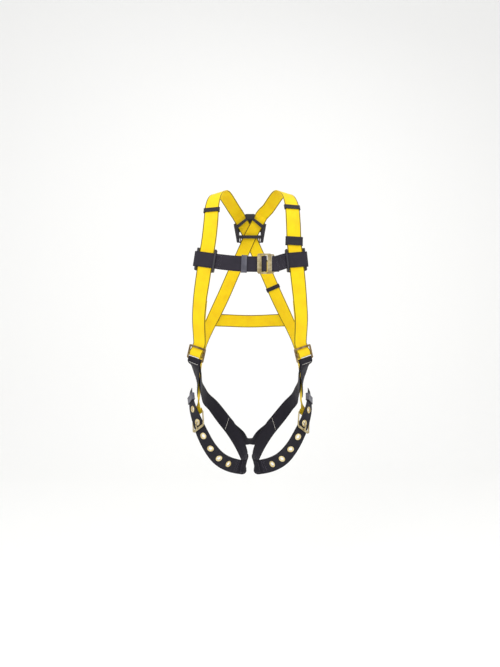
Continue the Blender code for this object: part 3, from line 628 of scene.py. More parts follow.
class Strap:
    """One run of webbing, laid along a route."""

    def __init__(self, name: str, pairs: list[Pair], width: float = WEB_WIDTH,
                 row: float = 0.0045) -> None:
        """Lay the strap.

        Args:
            name: The piece's name.
            pairs: Control points with their normals.
            width: The webbing's width.
            row: Distance between two rows of its mesh.
        """
        self.name = name
        self.width = width
        self.row = row
        self.places = sections(pairs, STRAP_STEP)
        self.length = run_length(self.places)
        self.openings: list[Opening] = []

    def near(self, point: Vector) -> float:
        """The distance along the strap of its place nearest to a point."""
        travelled, best, found = 0.0, math.inf, 0.0
        previous = self.places[0].centre
        for place in self.places:
            travelled += (place.centre - previous).length
            previous = place.centre
            gap = (place.centre - point).length
            if gap < best:
                best, found = gap, travelled
        return found

    def on(self, distance: float, across: float, face: Face, lift: float = 0.0) -> Vector:
        """A point on one face of the strap.

        Args:
            distance: Metres from the strap's start.
            across: Metres from its middle line.
            face: Which face.
            lift: Height above the webbing.

        Returns:
            The world point.
        """
        place = at_length(self.places, distance)
        height = (WEB_THICK / 2 + lift) * face.value
        return place.centre + place.across * across + place.out * height

    def rows(self) -> list[float]:
        """Distances of the mesh's rows, with one on each edge of every opening."""
        count = max(2, round(self.length / self.row))
        even = [self.length * k / count for k in range(count + 1)]
        rims = [o.distance + s * o.half_length for o in self.openings for s in (-1, 1)]
        kept = [d for d in even if all(abs(d - rim) > self.row * 0.45 for rim in rims)]
        ends = [0.0, 0.0008, self.length - 0.0008, self.length]
        kept = [d for d in kept if 0.002 < d < self.length - 0.002]
        return sorted(set(kept + rims + ends))

    def build(self) -> bpy.types.Object:
        """Weave the strap's closed mesh, with its openings left out.

        Returns:
            The strap.
        """
        half = self.width / 2
        shares = sorted({s * share for share, _ in WEB_PROFILE for s in (-1, 1)}
                        | {s * o.half_width / half for o in self.openings for s in (-1, 1)})
        rows = self.rows()
        verts: list[Vector] = []
        marks: list[tuple[float, float, float]] = []
        for distance in rows:
            place = at_length(self.places, distance)
            end = min(distance, self.length - distance)
            taper = 0.5 if end < 0.0004 else 1.0
            for share in shares:
                height = WEB_THICK / 2 * profile_height(abs(share)) * taper
                base = place.centre + place.across * share * half
                verts += [base + place.out * height, base - place.out * height]
                marks += [(share * half, distance, 1.0), (share * half, distance, -1.0)]
        present = self.cells(rows, shares, half)
        faces = strap_faces(present, len(rows), len(shares))
        used = sorted({index for face in faces for index in face})
        renumber = {old: new for new, old in enumerate(used)}
        bm = bmesh.new()
        made_verts = [bm.verts.new(verts[index]) for index in used]
        for face in faces:
            bm.faces.new([made_verts[renumber[index]] for index in face])
        made = finish_mesh(self.name, bm, 55.0)
        mark_places(made.data, [marks[index] for index in used])
        return made

    def cells(self, rows: list[float], shares: list[float], half: float) -> set[tuple[int, int]]:
        """Find the mesh cells that are cloth.

        Args:
            rows: Distances of the rows.
            shares: Places of the columns, as shares of the half-width.
            half: The half-width.

        Returns:
            (row, column) of every cell outside the openings.
        """
        present = set()
        for i in range(len(rows) - 1):
            middle = (rows[i] + rows[i + 1]) / 2
            for j in range(len(shares) - 1):
                across = (shares[j] + shares[j + 1]) / 2 * half
                cut = any(abs(middle - o.distance) < o.half_length and abs(across) < o.half_width
                          for o in self.openings)
                if not cut:
                    present.add((i, j))
        return present


def profile_height(share: float) -> float:
    """Half-thickness of the webbing at a share of its half-width, as a share of full."""
    for (low, first), (high, second) in zip(WEB_PROFILE, WEB_PROFILE[1:]):
        if share <= high + 1e-9:
            return first + (second - first) * (share - low) / (high - low)
    return WEB_PROFILE[-1][1]


def strap_faces(present: set[tuple[int, int]], rows: int, columns: int) -> list[tuple[int, ...]]:
    """List the quads of a strap: both faces, and a wall wherever a cell ends.

    Args:
        present: (row, column) of every cell that is cloth.
        rows: How many rows of vertices there are; not used.
        columns: How many columns of vertices there are.

    Returns:
        Vertex indices of each quad.
    """
    def vertex(i: int, j: int, back: int) -> int:
        """Index of a vertex."""
        return (i * columns + j) * 2 + back

    faces: list[tuple[int, ...]] = []
    for i, j in sorted(present):
        corners = ((i, j), (i, j + 1), (i + 1, j + 1), (i + 1, j))
        faces.append(tuple(vertex(a, b, 0) for a, b in corners))
        faces.append(tuple(vertex(a, b, 1) for a, b in reversed(corners)))
        beside = ((i - 1, j), (i, j + 1), (i + 1, j), (i, j - 1))
        for k, neighbour in enumerate(beside):
            if neighbour not in present:
                (a, b), (c, d) = corners[k], corners[(k + 1) % 4]
                faces.append((vertex(a, b, 0), vertex(a, b, 1), vertex(c, d, 1), vertex(c, d, 0)))
    return faces


@dataclass
class Seam:
    """Rows of thread sewn into a strap, each stitch a real short length of thread."""

    name: str
    strap: Strap
    face: Face
    thread: float = 0.0011
    stitch: float = 0.0036
    gap: float = 0.0009
    lines: list[list[Point2]] = field(default_factory=list)

    def across(self, distance: float, margin: float = 0.0035, slant: float = 0.0) -> "Seam":
        """Add a straight row of stitches over the width.

        Args:
            distance: Where its middle lies along the strap.
            margin: Its distance from the strap's edges.
            slant: How much further along one end lies than the other.

        Returns:
            The seam itself.
        """
        half = self.strap.width / 2 - margin
        self.lines.append([(distance - slant / 2, -half), (distance + slant / 2, half)])
        return self

    def box(self, low: float, high: float, crossed: bool = True) -> "Seam":
        """Add a box of stitches, with a cross inside it where asked.

        Args:
            low: Where it starts along the strap.
            high: Where it ends.
            crossed: Whether it has two diagonals.

        Returns:
            The seam itself.
        """
        half = self.strap.width / 2 - 0.005
        self.lines.append([(low, -half), (high, -half), (high, half), (low, half), (low, -half)])
        if crossed:
            self.lines.append([(low, -half), (high, half)])
            self.lines.append([(low, half), (high, -half)])
        return self

    def zigzag(self, distance: float, depth: float = 0.008) -> "Seam":
        """Add a zigzag bar over the width.

        Args:
            distance: Where it lies along the strap.
            depth: Its height.

        Returns:
            The seam itself.
        """
        half = self.strap.width / 2 - 0.004
        self.lines.append([(distance + depth * (0.5 if k % 2 else -0.5),
                            -half + 2 * half * k / 9) for k in range(10)])
        return self

    def build(self) -> bpy.types.Object:
        """Lay every stitch.

        Returns:
            One object that holds all the thread.
        """
        bm = bmesh.new()
        for line in self.lines:
            for (d0, a0), (d1, a1) in zip(line, line[1:]):
                span = math.hypot(d1 - d0, a1 - a0)
                count = max(1, round(span / (self.stitch + self.gap)))
                for k in range(count):
                    low, high = (k + 0.1) / count, (k + 0.9) / count
                    self.lay(bm, (d0 + (d1 - d0) * low, a0 + (a1 - a0) * low),
                             (d0 + (d1 - d0) * high, a0 + (a1 - a0) * high))
        return finish_mesh(self.name, bm, 70.0)

    def lay(self, bm: bmesh.types.BMesh, start: Point2, end: Point2) -> None:
        """Lay one stitch: it rises out of the webbing and dives back in.

        Args:
            bm: The mesh to add to.
            start: Its first (along, across) point.
            end: Its last.
        """
        first = self.strap.on(start[0], start[1], self.face)
        last = self.strap.on(end[0], end[1], self.face)
        out = at_length(self.strap.places, (start[0] + end[0]) / 2).out * self.face.value
        side = (last - first).normalized().cross(out).normalized()
        rings = []
        for t, grow, rise in ((0.0, 0.3, -0.35), (0.12, 0.8, 0.05), (0.5, 1.0, 0.38),
                              (0.88, 0.8, 0.05), (1.0, 0.3, -0.35)):
            centre = first.lerp(last, t) + out * self.thread * rise
            ring = []
            for k in range(6):
                angle = 2 * math.pi * k / 6
                ring.append(bm.verts.new(centre + (side * math.cos(angle) + out * math.sin(angle))
                                         * self.thread / 2 * grow))
            rings.append(ring)
        skin(bm, rings)


# Finishes -------------------------------------------------------------------------------
def linear(hex_colour: str) -> tuple[float, float, float, float]:
    """Turn an sRGB hex colour to linear.

    Args:
        hex_colour: Six hex digits after a hash sign.

    Returns:
        Red, green, blue and alpha.
    """
    channels = []
    for start in (1, 3, 5):
        value = int(hex_colour[start:start + 2], 16) / 255
        channels.append(value / 12.92 if value <= 0.04045 else ((value + 0.055) / 1.055) ** 2.4)
    return (channels[0], channels[1], channels[2], 1.0)


Inputs = dict[Union[int, str], Any]
Output = tuple[bpy.types.Node, Union[int, str]]


def feed(tree: bpy.types.NodeTree, node: bpy.types.Node, inputs: Inputs) -> None:
    """Link or set a node's inputs.

    Args:
        tree: The node tree.
        node: The node to feed.
        inputs: By socket name or index: a node, a (node, output) pair, or a plain value.
    """
    for name, value in inputs.items():
        if isinstance(value, bpy.types.Node):
            value = (value, 0)
        if isinstance(value, tuple) and isinstance(value[0], bpy.types.Node):
            tree.links.new(value[0].outputs[value[1]], node.inputs[name])
        else:
            node.inputs[name].default_value = value


def add_node(tree: bpy.types.NodeTree, kind: str, inputs: Optional[Inputs] = None,
             **settings: Any) -> bpy.types.Node:
    """Add a node with its settings and links.

    Args:
        tree: The node tree.
        kind: The node's type, without the "ShaderNode" that all of them start with.
        inputs: What its sockets hold, as in feed.
        settings: Its properties.

    Returns:
        The node.
    """
    node = tree.nodes.new("ShaderNode" + kind)
    for name, value in settings.items():
        setattr(node, name, value)
    feed(tree, node, inputs or {})
    return node


def new_material(name: str) -> tuple[bpy.types.Material, bpy.types.NodeTree, bpy.types.Node]:
    """Start a material with one Principled shader.

    Args:
        name: The finish's name.

    Returns:
        The material, its tree and the shader.
    """
    made = bpy.data.materials.new(name)
    made.use_nodes = True
    tree = made.node_tree
    return made, tree, tree.nodes["Principled BSDF"]


@dataclass(frozen=True)
class Webbing:
    """Woven polyester webbing: flat bright filament yarn in a two-panel herringbone.

    The filaments lie side by side, so the face has a soft sheen and fine slanting ribs. The low
    yarns are painted darker as shade in the weave's grooves, and the rolled selvedge carries a
    dark band that is partly a darker thread and partly painted shade along the strap's edges.
    """

    name: str
    body: str
    shade: str
    # The selvedge band's colour, strength and span: a darker thread there, and painted shade along
    # the strap's edges.
    catch: str
    catch_strength: float
    yarn_mm: float = 1.9        # real yarns are 0.9 mm apart: drawn twice as coarse to show
    panel_mm: float = 11.0
    mottle_mm: float = 1000 / 26     # yarn tone drifts over about 38 mm
    grime_mm: float = 1000 / 9       # handling marks are about 110 mm apart
    catch_from_mm: float = 19.5
    selvedge_thread_and_shade_to_mm: float = 21.1
    roughness: float = 0.62
    soil: float = 0.10
    sheen: float = 0.04

    def build(self) -> bpy.types.Material:
        """Make the material.

        Returns:
            The material.
        """
        made, tree, shader = new_material(self.name)
        mark = add_node(tree, "Attribute", attribute_name=PLACE)
        in_mm = add_node(tree, "VectorMath", {0: (mark, "Vector"), "Scale": 1000.0},
                         operation="SCALE")
        apart = add_node(tree, "SeparateXYZ", {0: in_mm})
        across, along = (apart, "X"), (apart, "Y")
        place = add_node(tree, "NewGeometry")
        weave = self.weave(tree, across, along)
        mottle = add_node(tree, "TexNoise", {"Vector": place, "Scale": 1000 / self.mottle_mm,
                                             "Detail": 4.0, "Roughness": 0.55})
        wide = add_node(tree, "Math", {0: across, 1: 0.9}, operation="MULTIPLY")
        long = add_node(tree, "Math", {0: along, 1: 0.02}, operation="MULTIPLY")
        drawn = add_node(tree, "CombineXYZ", {0: wide, 1: long})
        streak = add_node(tree, "TexNoise", {"Vector": drawn, "Scale": 1.0, "Detail": 2.0})
        tone = add_node(tree, "Math", {0: streak, 1: 0.35}, operation="MULTIPLY")
        tone = add_node(tree, "Math", {0: mottle, 1: 0.55, 2: tone}, operation="MULTIPLY_ADD")
        # The weave's share paints the low yarns darker: painted shade in the weave's grooves. Mottle
        # and streak are the yarn's own random tone.
        tone = add_node(tree, "Math", {0: weave, 1: 0.22, 2: tone}, operation="MULTIPLY_ADD")
        share = add_node(tree, "MapRange", {0: tone, 1: 0.28, 2: 0.66})
        yarn = add_node(tree, "Mix", {"Factor": share, "A": linear(self.shade),
                                      "B": linear(self.body)}, data_type="RGBA")
        # The dark band by each selvedge: partly a darker thread, partly painted shade along the
        # strap's edges.
        with_selvedge_thread_and_shade = add_node(tree, "Mix", {"Factor": self.selvedge_thread_and_shade_band(tree, across),
                                        "A": (yarn, 2), "B": linear(self.catch)},
                          data_type="RGBA")
        grime = add_node(tree, "TexNoise", {"Vector": place, "Scale": 1000 / self.grime_mm,
                                            "Detail": 6.0, "Roughness": 0.7})
        soiled = add_node(tree, "MapRange", {0: grime, 1: 0.56, 2: 0.80, 4: self.soil})
        worn = add_node(tree, "Mix", {"Factor": soiled, "A": (with_selvedge_thread_and_shade, 2),
                                      "B": linear("#4a4335")}, data_type="RGBA")
        gloss = add_node(tree, "Math", {0: mottle, 1: 0.16, 2: self.roughness - 0.08},
                         operation="MULTIPLY_ADD")
        bump = add_node(tree, "Bump", {"Strength": 0.55, "Distance": 0.00035, "Height": weave})
        feed(tree, shader, {"Base Color": (worn, 2), "Roughness": gloss, "Normal": bump,
                            "Sheen Weight": self.sheen, "Sheen Roughness": 0.45, "IOR": 1.5,
                            "Specular IOR Level": 0.28})
        return made

    def weave(self, tree: bpy.types.NodeTree, across: Output, along: Output) -> bpy.types.Node:
        """Draw the herringbone: slanting ribs that turn back at each panel, and fine picks.

        Args:
            tree: The material's tree.
            across: The place across the strap, in millimetres.
            along: The place along it.

        Returns:
            The node whose value is the yarn's height, about 0 to 1.
        """
        turn = 2 * math.pi / self.yarn_mm
        shifted = add_node(tree, "Math", {0: across, 1: 100 * self.panel_mm}, operation="ADD")
        chevron = add_node(tree, "Math", {0: shifted, 1: self.panel_mm}, operation="PINGPONG")
        slant = add_node(tree, "Math", {0: along, 1: chevron}, operation="ADD")
        slant = add_node(tree, "Math", {0: slant, 1: turn}, operation="MULTIPLY")
        rib = add_node(tree, "Math", {0: slant}, operation="SINE")
        picks = add_node(tree, "Math", {0: across, 1: turn * 1.35}, operation="MULTIPLY")
        picks = add_node(tree, "Math", {0: picks}, operation="SINE")
        both = add_node(tree, "Math", {0: picks, 1: 0.35, 2: rib}, operation="MULTIPLY_ADD")
        return add_node(tree, "Math", {0: both, 1: 0.37, 2: 0.5}, operation="MULTIPLY_ADD")

    def selvedge_thread_and_shade_band(self, tree: bpy.types.NodeTree, across: Output) -> bpy.types.Node:
        """Draw the dark band beside each selvedge: a darker thread and painted edge shade.

        Args:
            tree: The material's tree.
            across: The place across the strap, in millimetres.

        Returns:
            The node whose value is the band's strength.
        """
        edge = add_node(tree, "Math", {0: across}, operation="ABSOLUTE")
        past = add_node(tree, "Math", {0: edge, 1: self.catch_from_mm}, operation="SUBTRACT")
        left = add_node(tree, "Math", {0: self.selvedge_thread_and_shade_to_mm, 1: edge}, operation="SUBTRACT")
        inside = add_node(tree, "Math", {0: past, 1: left, 2: 0.2}, operation="SMOOTH_MIN")
        return add_node(tree, "MapRange", {0: inside, 1: -0.25, 2: 0.25, 4: self.catch_strength})


@dataclass(frozen=True)
class Elastic:
    """Knitted elastic tape: fine cords that run round the keeper, dull and slightly fuzzy."""

    name: str
    body: str
    shade: str
    cord_mm: float = 2.2        # real cords are 1.1 mm apart: drawn twice as coarse to show

    def build(self) -> bpy.types.Material:
        """Make the material.

        Returns:
            The material.
        """
        made, tree, shader = new_material(self.name)
        mark = add_node(tree, "Attribute", attribute_name=PLACE)
        apart = add_node(tree, "SeparateXYZ", {0: (mark, "Vector")})
        turn = 2000 * math.pi / self.cord_mm
        cords = add_node(tree, "Math", {0: (apart, "X"), 1: turn}, operation="MULTIPLY")
        cords = add_node(tree, "Math", {0: cords}, operation="SINE")
        knit = add_node(tree, "Math", {0: (apart, "Y"), 1: turn * 0.8}, operation="MULTIPLY")
        knit = add_node(tree, "Math", {0: knit}, operation="SINE")
        height = add_node(tree, "Math", {0: knit, 1: 0.3, 2: cords}, operation="MULTIPLY_ADD")
        height = add_node(tree, "Math", {0: height, 1: 0.38, 2: 0.5}, operation="MULTIPLY_ADD")
        share = add_node(tree, "MapRange", {0: height, 1: 0.1, 2: 0.9})
        # Darker between the cords and knit rows, following the bump's height: painted shade in the
        # grooves.
        tone = add_node(tree, "Mix", {"Factor": share, "A": linear(self.shade),
                                      "B": linear(self.body)}, data_type="RGBA")
        bump = add_node(tree, "Bump", {"Strength": 0.7, "Distance": 0.0004, "Height": height})
        feed(tree, shader, {"Base Color": (tone, 2), "Normal": bump, "Roughness": 0.82,
                            "Sheen Weight": 0.06})
        return made


@dataclass(frozen=True)
class Moulded:
    """Injection-moulded nylon: fine spark-eroded grain, satin, paler where it is rubbed."""

    name: str
    body: str
    rubbed: str
    roughness: float = 0.46
    grain_mm: float = 0.9       # real grain is 0.2 mm: drawn coarser to show
    cloud_mm: float = 1000 / 60      # rubbed patches are about 17 mm across

    def build(self) -> bpy.types.Material:
        """Make the material.

        Returns:
            The material.
        """
        made, tree, shader = new_material(self.name)
        place = add_node(tree, "NewGeometry")
        grain = add_node(tree, "TexNoise", {"Vector": place, "Scale": 1000 / self.grain_mm,
                                            "Detail": 3.0, "Roughness": 0.6})
        cloud = add_node(tree, "TexNoise", {"Vector": place, "Scale": 1000 / self.cloud_mm,
                                            "Detail": 5.0})
        share = add_node(tree, "MapRange", {0: cloud, 1: 0.35, 2: 0.75})
        tone = add_node(tree, "Mix", {"Factor": share, "A": linear(self.body),
                                      "B": linear(self.rubbed)}, data_type="RGBA")
        gloss = add_node(tree, "Math", {0: cloud, 1: 0.22, 2: self.roughness - 0.11},
                         operation="MULTIPLY_ADD")
        bump = add_node(tree, "Bump", {"Strength": 0.25, "Distance": 0.0002, "Height": grain})
        feed(tree, shader, {"Base Color": (tone, 2), "Roughness": gloss, "Normal": bump,
                            "IOR": 1.53})
        return made


@dataclass(frozen=True)
class Plated:
    """Stamped metal with a thin plate: soft gloss, faint rolling marks, duller in patches."""

    name: str
    bright: str
    dull: str
    roughness: float = 0.30
    rolled_mm: float = 0.8      # real rolling marks are 0.1 mm apart: drawn coarser to show
    cloud_mm: float = 1000 / 75      # dull patches are about 13 mm across
    knurl_mm: float = 0.0

    def build(self) -> bpy.types.Material:
        """Make the material.

        Returns:
            The material.
        """
        made, tree, shader = new_material(self.name)
        place = add_node(tree, "NewGeometry")
        stretched = add_node(tree, "VectorMath", {0: place, 1: (1.0, 1.0, 0.08)},
                             operation="MULTIPLY")
        marks = add_node(tree, "TexNoise", {"Vector": stretched, "Scale": 1000 / self.rolled_mm,
                                            "Detail": 3.0})
        cloud = add_node(tree, "TexNoise", {"Vector": place, "Scale": 1000 / self.cloud_mm,
                                            "Detail": 6.0, "Roughness": 0.6})
        share = add_node(tree, "MapRange", {0: cloud, 1: 0.36, 2: 0.62})
        tone = add_node(tree, "Mix", {"Factor": share, "A": linear(self.dull),
                                      "B": linear(self.bright)}, data_type="RGBA")
        gloss = add_node(tree, "Math", {0: cloud, 1: 0.24, 2: self.roughness - 0.10},
                         operation="MULTIPLY_ADD")
        gloss = add_node(tree, "Math", {0: marks, 1: 0.08, 2: gloss}, operation="MULTIPLY_ADD")
        height, depth = marks, 0.00008
        if self.knurl_mm:
            apart = add_node(tree, "SeparateXYZ", {0: place})
            ridges = add_node(tree, "Math", {0: (apart, "X"), 1: 2000 * math.pi / self.knurl_mm},
                              operation="MULTIPLY")
            height, depth = add_node(tree, "Math", {0: ridges}, operation="SINE"), 0.0006
        bump = add_node(tree, "Bump", {"Strength": 0.4, "Distance": depth, "Height": height})
        feed(tree, shader, {"Base Color": (tone, 2), "Roughness": gloss, "Normal": bump,
                            "Metallic": 1.0})
        return made


@dataclass(frozen=True)
class Thread:
    """Bonded polyester sewing thread: three twisted plies, slightly glossy."""

    name: str
    body: str
    shade: str
    ply_mm: float = 1.1

    def build(self) -> bpy.types.Material:
        """Make the material.

        Returns:
            The material.
        """
        made, tree, shader = new_material(self.name)
        place = add_node(tree, "NewGeometry")
        plies = add_node(tree, "TexWave", {"Vector": place, "Scale": 50 / self.ply_mm,
                                           "Distortion": 1.0}, bands_direction="DIAGONAL")
        share = add_node(tree, "MapRange", {0: (plies, 1), 1: 0.2, 2: 0.8})
        # Darker in the grooves between the plies, following the bump's height: painted shade.
        tone = add_node(tree, "Mix", {"Factor": share, "A": linear(self.shade),
                                      "B": linear(self.body)}, data_type="RGBA")
        bump = add_node(tree, "Bump", {"Strength": 0.4, "Distance": 0.0002,
                                       "Height": (plies, 1)})
        feed(tree, shader, {"Base Color": (tone, 2), "Normal": bump, "Roughness": 0.5})
        return made


class Finish(Enum):
    """Every finish on the harness, with the record's slot it stands for."""

    # Each webbing's third colour and the number after it paint the selvedge band: a darker thread and
    # painted edge shade. Its second colour also paints shade in the weave's grooves.
    YELLOW = ("yellow_webbing", Webbing("yellow_polyester_webbing", "#fbdb00", "#efbb00",
                                        "#2e2600", 0.97, catch_from_mm=19.7, selvedge_thread_and_shade_to_mm=22.1,
                                        sheen=0.03))
    BLACK = ("black_webbing", Webbing("black_polyester_webbing", "#1c1924", "#100e17", "#08070c",
                                      0.5, roughness=0.72, soil=0.03))
    # The same black webbing, drawn in a paler copy for the chest band.
    CHEST = ("black_webbing", Webbing("paler_black_webbing", "#2d2934", "#1c1922", "#0f0d13",
                                      0.5, roughness=0.72, soil=0.04))
    # The elastic's second colour is painted shade between its cords.
    ELASTIC = ("black_elastic", Elastic("knitted_elastic", "#27232f", "#110f16"))
    PLASTIC = ("black_plastic", Moulded("moulded_black_nylon", "#1a1721", "#26232e"))
    GREY = ("grey_plastic", Moulded("moulded_grey_nylon", "#45444f", "#595966", 0.42))
    STEEL = ("zinc_steel", Plated("yellow_zinc_plated_steel", "#cdbf98", "#a08d62"))
    BRONZED = ("zinc_steel", Plated("bronzed_plated_steel", "#a08a62", "#5f4b33", 0.34))
    KNURLED = ("zinc_steel", Plated("knurled_plated_steel", "#cbbd96", "#a38f60", 0.34,
                                    knurl_mm=1.6))
    BRASS = ("brass", Plated("plated_brass_eyelet", "#efdfae", "#d3b978", 0.28))
    # Each thread's second colour is painted shade between its plies.
    YELLOW_THREAD = ("yellow_webbing", Thread("yellow_thread", "#f2d21c", "#b8940a"))
    BLACK_THREAD = ("black_webbing", Thread("black_thread", "#4b4856", "#2a2831"))
    WHITE_THREAD = ("black_webbing", Thread("white_thread", "#f1efe9", "#bdb9b0"))

    @property
    def slot(self) -> str:
        """The record's material slot."""
        return self.value[0]


class Wardrobe:
    """Makes each finish once and dresses pieces in them."""

    def __init__(self) -> None:
        """Start with no finish made."""
        self.made: dict[Finish, bpy.types.Material] = {}

    def dress(self, piece: bpy.types.Object, finish: Finish, *nodes: str,
              body: str = "harness") -> None:
        """Give a piece its finish and its body.

        Args:
            piece: The piece.
            finish: Its finish.
            nodes: CAD nodes that it stands for.
            body: The CAD body it moves with.
        """
        if finish not in self.made:
            self.made[finish] = finish.value[1].build()
        piece.data.materials.clear()
        piece.data.materials.append(self.made[finish])
        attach(piece, body)
        if nodes:
            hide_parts(*nodes)
        LOG.info("%s rides on %s, %d faces", piece.name, body, len(piece.data.polygons))


# Sub-assemblies -------------------------------------------------------------------------
def pad_axes() -> Axes:
    """The dorsal pad: u runs down, v across, w out from the wearer's back."""
    down = (0, math.sin(PAD_TILT), -math.cos(PAD_TILT))
    return Axes(CROSSING, down, (0, math.cos(PAD_TILT), math.sin(PAD_TILT)))


@dataclass
class Assembly:
    """A sub-assembly, dressed from the shared wardrobe."""

    wardrobe: Wardrobe

    def dress(self, piece: bpy.types.Object, finish: Finish, *nodes: str,
              body: str = "harness") -> None:
        """Dress a piece, as in Wardrobe.dress."""
        self.wardrobe.dress(piece, finish, *nodes, body=body)


@dataclass
class LegBuckle(Assembly):
    """Tongue buckle of a leg loop: a bent ring, a roller and a tongue."""

    width: float = 0.060
    hinge_u: float = -0.0250
    hinge_w: float = -0.0125
    roller_u: float = 0.0200
    roller_w: float = 0.0062
    rod: float = 0.0022
    roller: float = 0.0038
    corner: float = 0.004

    def axes(self, side: Side) -> Axes:
        """The buckle's axes: origin on the used eyelet, u down the strap, w out."""
        place = at_length(LegLoop.places(side), EYELETS[USED_EYELET])
        return Axes(place.centre, -place.along, place.out)

    def ring_path(self, axes: Axes) -> list[Pair]:
        """The bent ring's centre line.

        Args:
            axes: The buckle's axes.

        Returns:
            Places with the ring's plane.
        """
        half_v = self.width / 2 - 0.003
        slope = Vector((self.roller_u - self.hinge_u, self.roller_w - self.hinge_w))
        plane = axes.direction(-slope.y, 0, slope.x)
        unit = slope.normalized()
        corners = ((self.hinge_u, self.hinge_w, -1), (self.hinge_u, self.hinge_w, 1),
                   (self.roller_u, self.roller_w, 1), (self.roller_u, self.roller_w, -1))
        path: list[Pair] = []
        for index, (u, w, s) in enumerate(corners):
            inward = 1 if index < 2 else -1
            for k in range(7):
                angle = math.radians(90 * k / 6)
                lag = (self.corner * (1 - math.cos(angle)), self.corner * (1 - math.sin(angle)))
                if index in (0, 2):
                    lag = (lag[1], lag[0])
                shift = unit * lag[0] * inward
                path.append((axes.at(u + shift.x, s * (half_v - lag[1]), w + shift.y), plane))
        return path

    def tongue(self, name: str, axes: Axes) -> bpy.types.Object:
        """Forge the tongue: an eye round the hinge bar, then out through the eyelet.

        Args:
            name: The piece's name.
            axes: The buckle's axes.

        Returns:
            The tongue.
        """
        thick, width = 0.0030, 0.0042
        eye = self.rod + CLEARANCE + thick / 2
        pairs = axes.arc(self.hinge_u, self.hinge_w, eye, 60, -240, 8)
        tip = self.roller_w + self.roller + CLEARANCE + thick / 2
        for u, w, du, dw in ((-0.0170, -0.0105, -0.30, -1.0), (-0.0080, -0.0078, 0.40, -1.0),
                             (-0.0028, -0.0034, 1.0, -0.75), (0.0028, 0.0034, 1.0, -0.75),
                             (0.0095, tip - 0.0012, 0.35, -1.0), (0.0180, tip + 0.0002, 0.0, -1.0),
                             (0.0250, tip - 0.0004, -0.10, -1.0)):
            pairs.append((axes.at(u, 0, w), axes.direction(du, 0, dw)))
        bm = bmesh.new()
        rings = []
        places = sections(pairs, 0.0012)
        for index, place in enumerate(places):
            left = (len(places) - 1 - index) * 0.0012
            slim = min(1.0, 0.45 + left / 0.006)
            ring = []
            for k in range(14):
                angle = 2 * math.pi * k / 14
                side = math.copysign(abs(math.cos(angle)) ** 0.6, math.cos(angle))
                rise = math.copysign(abs(math.sin(angle)) ** 0.6, math.sin(angle))
                ring.append(bm.verts.new(place.centre + place.across * side * width / 2 * slim
                                         + place.out * rise * thick / 2 * slim))
            rings.append(ring)
        skin(bm, rings)
        return finish_mesh(name, bm, 60.0)

    def build(self, side: Side) -> None:
        """Build one buckle.

        Args:
            side: Which leg.
        """
        axes = self.axes(side)
        ring = rod(f"leg_buckle_ring_{side.word}", self.ring_path(axes), self.rod)
        self.dress(ring, Finish.STEEL, f"leg_buckle_frame_{side.word}")
        inner, outer, half = self.rod + CLEARANCE, self.roller, 0.0225
        profile = [(inner, -half), (outer - 0.0006, -half), (outer, -half + 0.0006),
                   (outer, half - 0.0006), (outer - 0.0006, half), (inner, half)]
        roller = turned(f"leg_roller_tube_{side.word}", axes.at(self.roller_u, 0, self.roller_w),
                        axes.v, axes.u, profile, 28)
        self.dress(roller, Finish.STEEL, f"leg_buckle_roller_{side.word}",
                       body=f"leg_roller_{side.word}")
        self.dress(self.tongue(f"leg_tongue_{side.word}", axes), Finish.STEEL,
                       f"leg_buckle_prong_{side.word}", body=f"leg_prong_{side.word}")


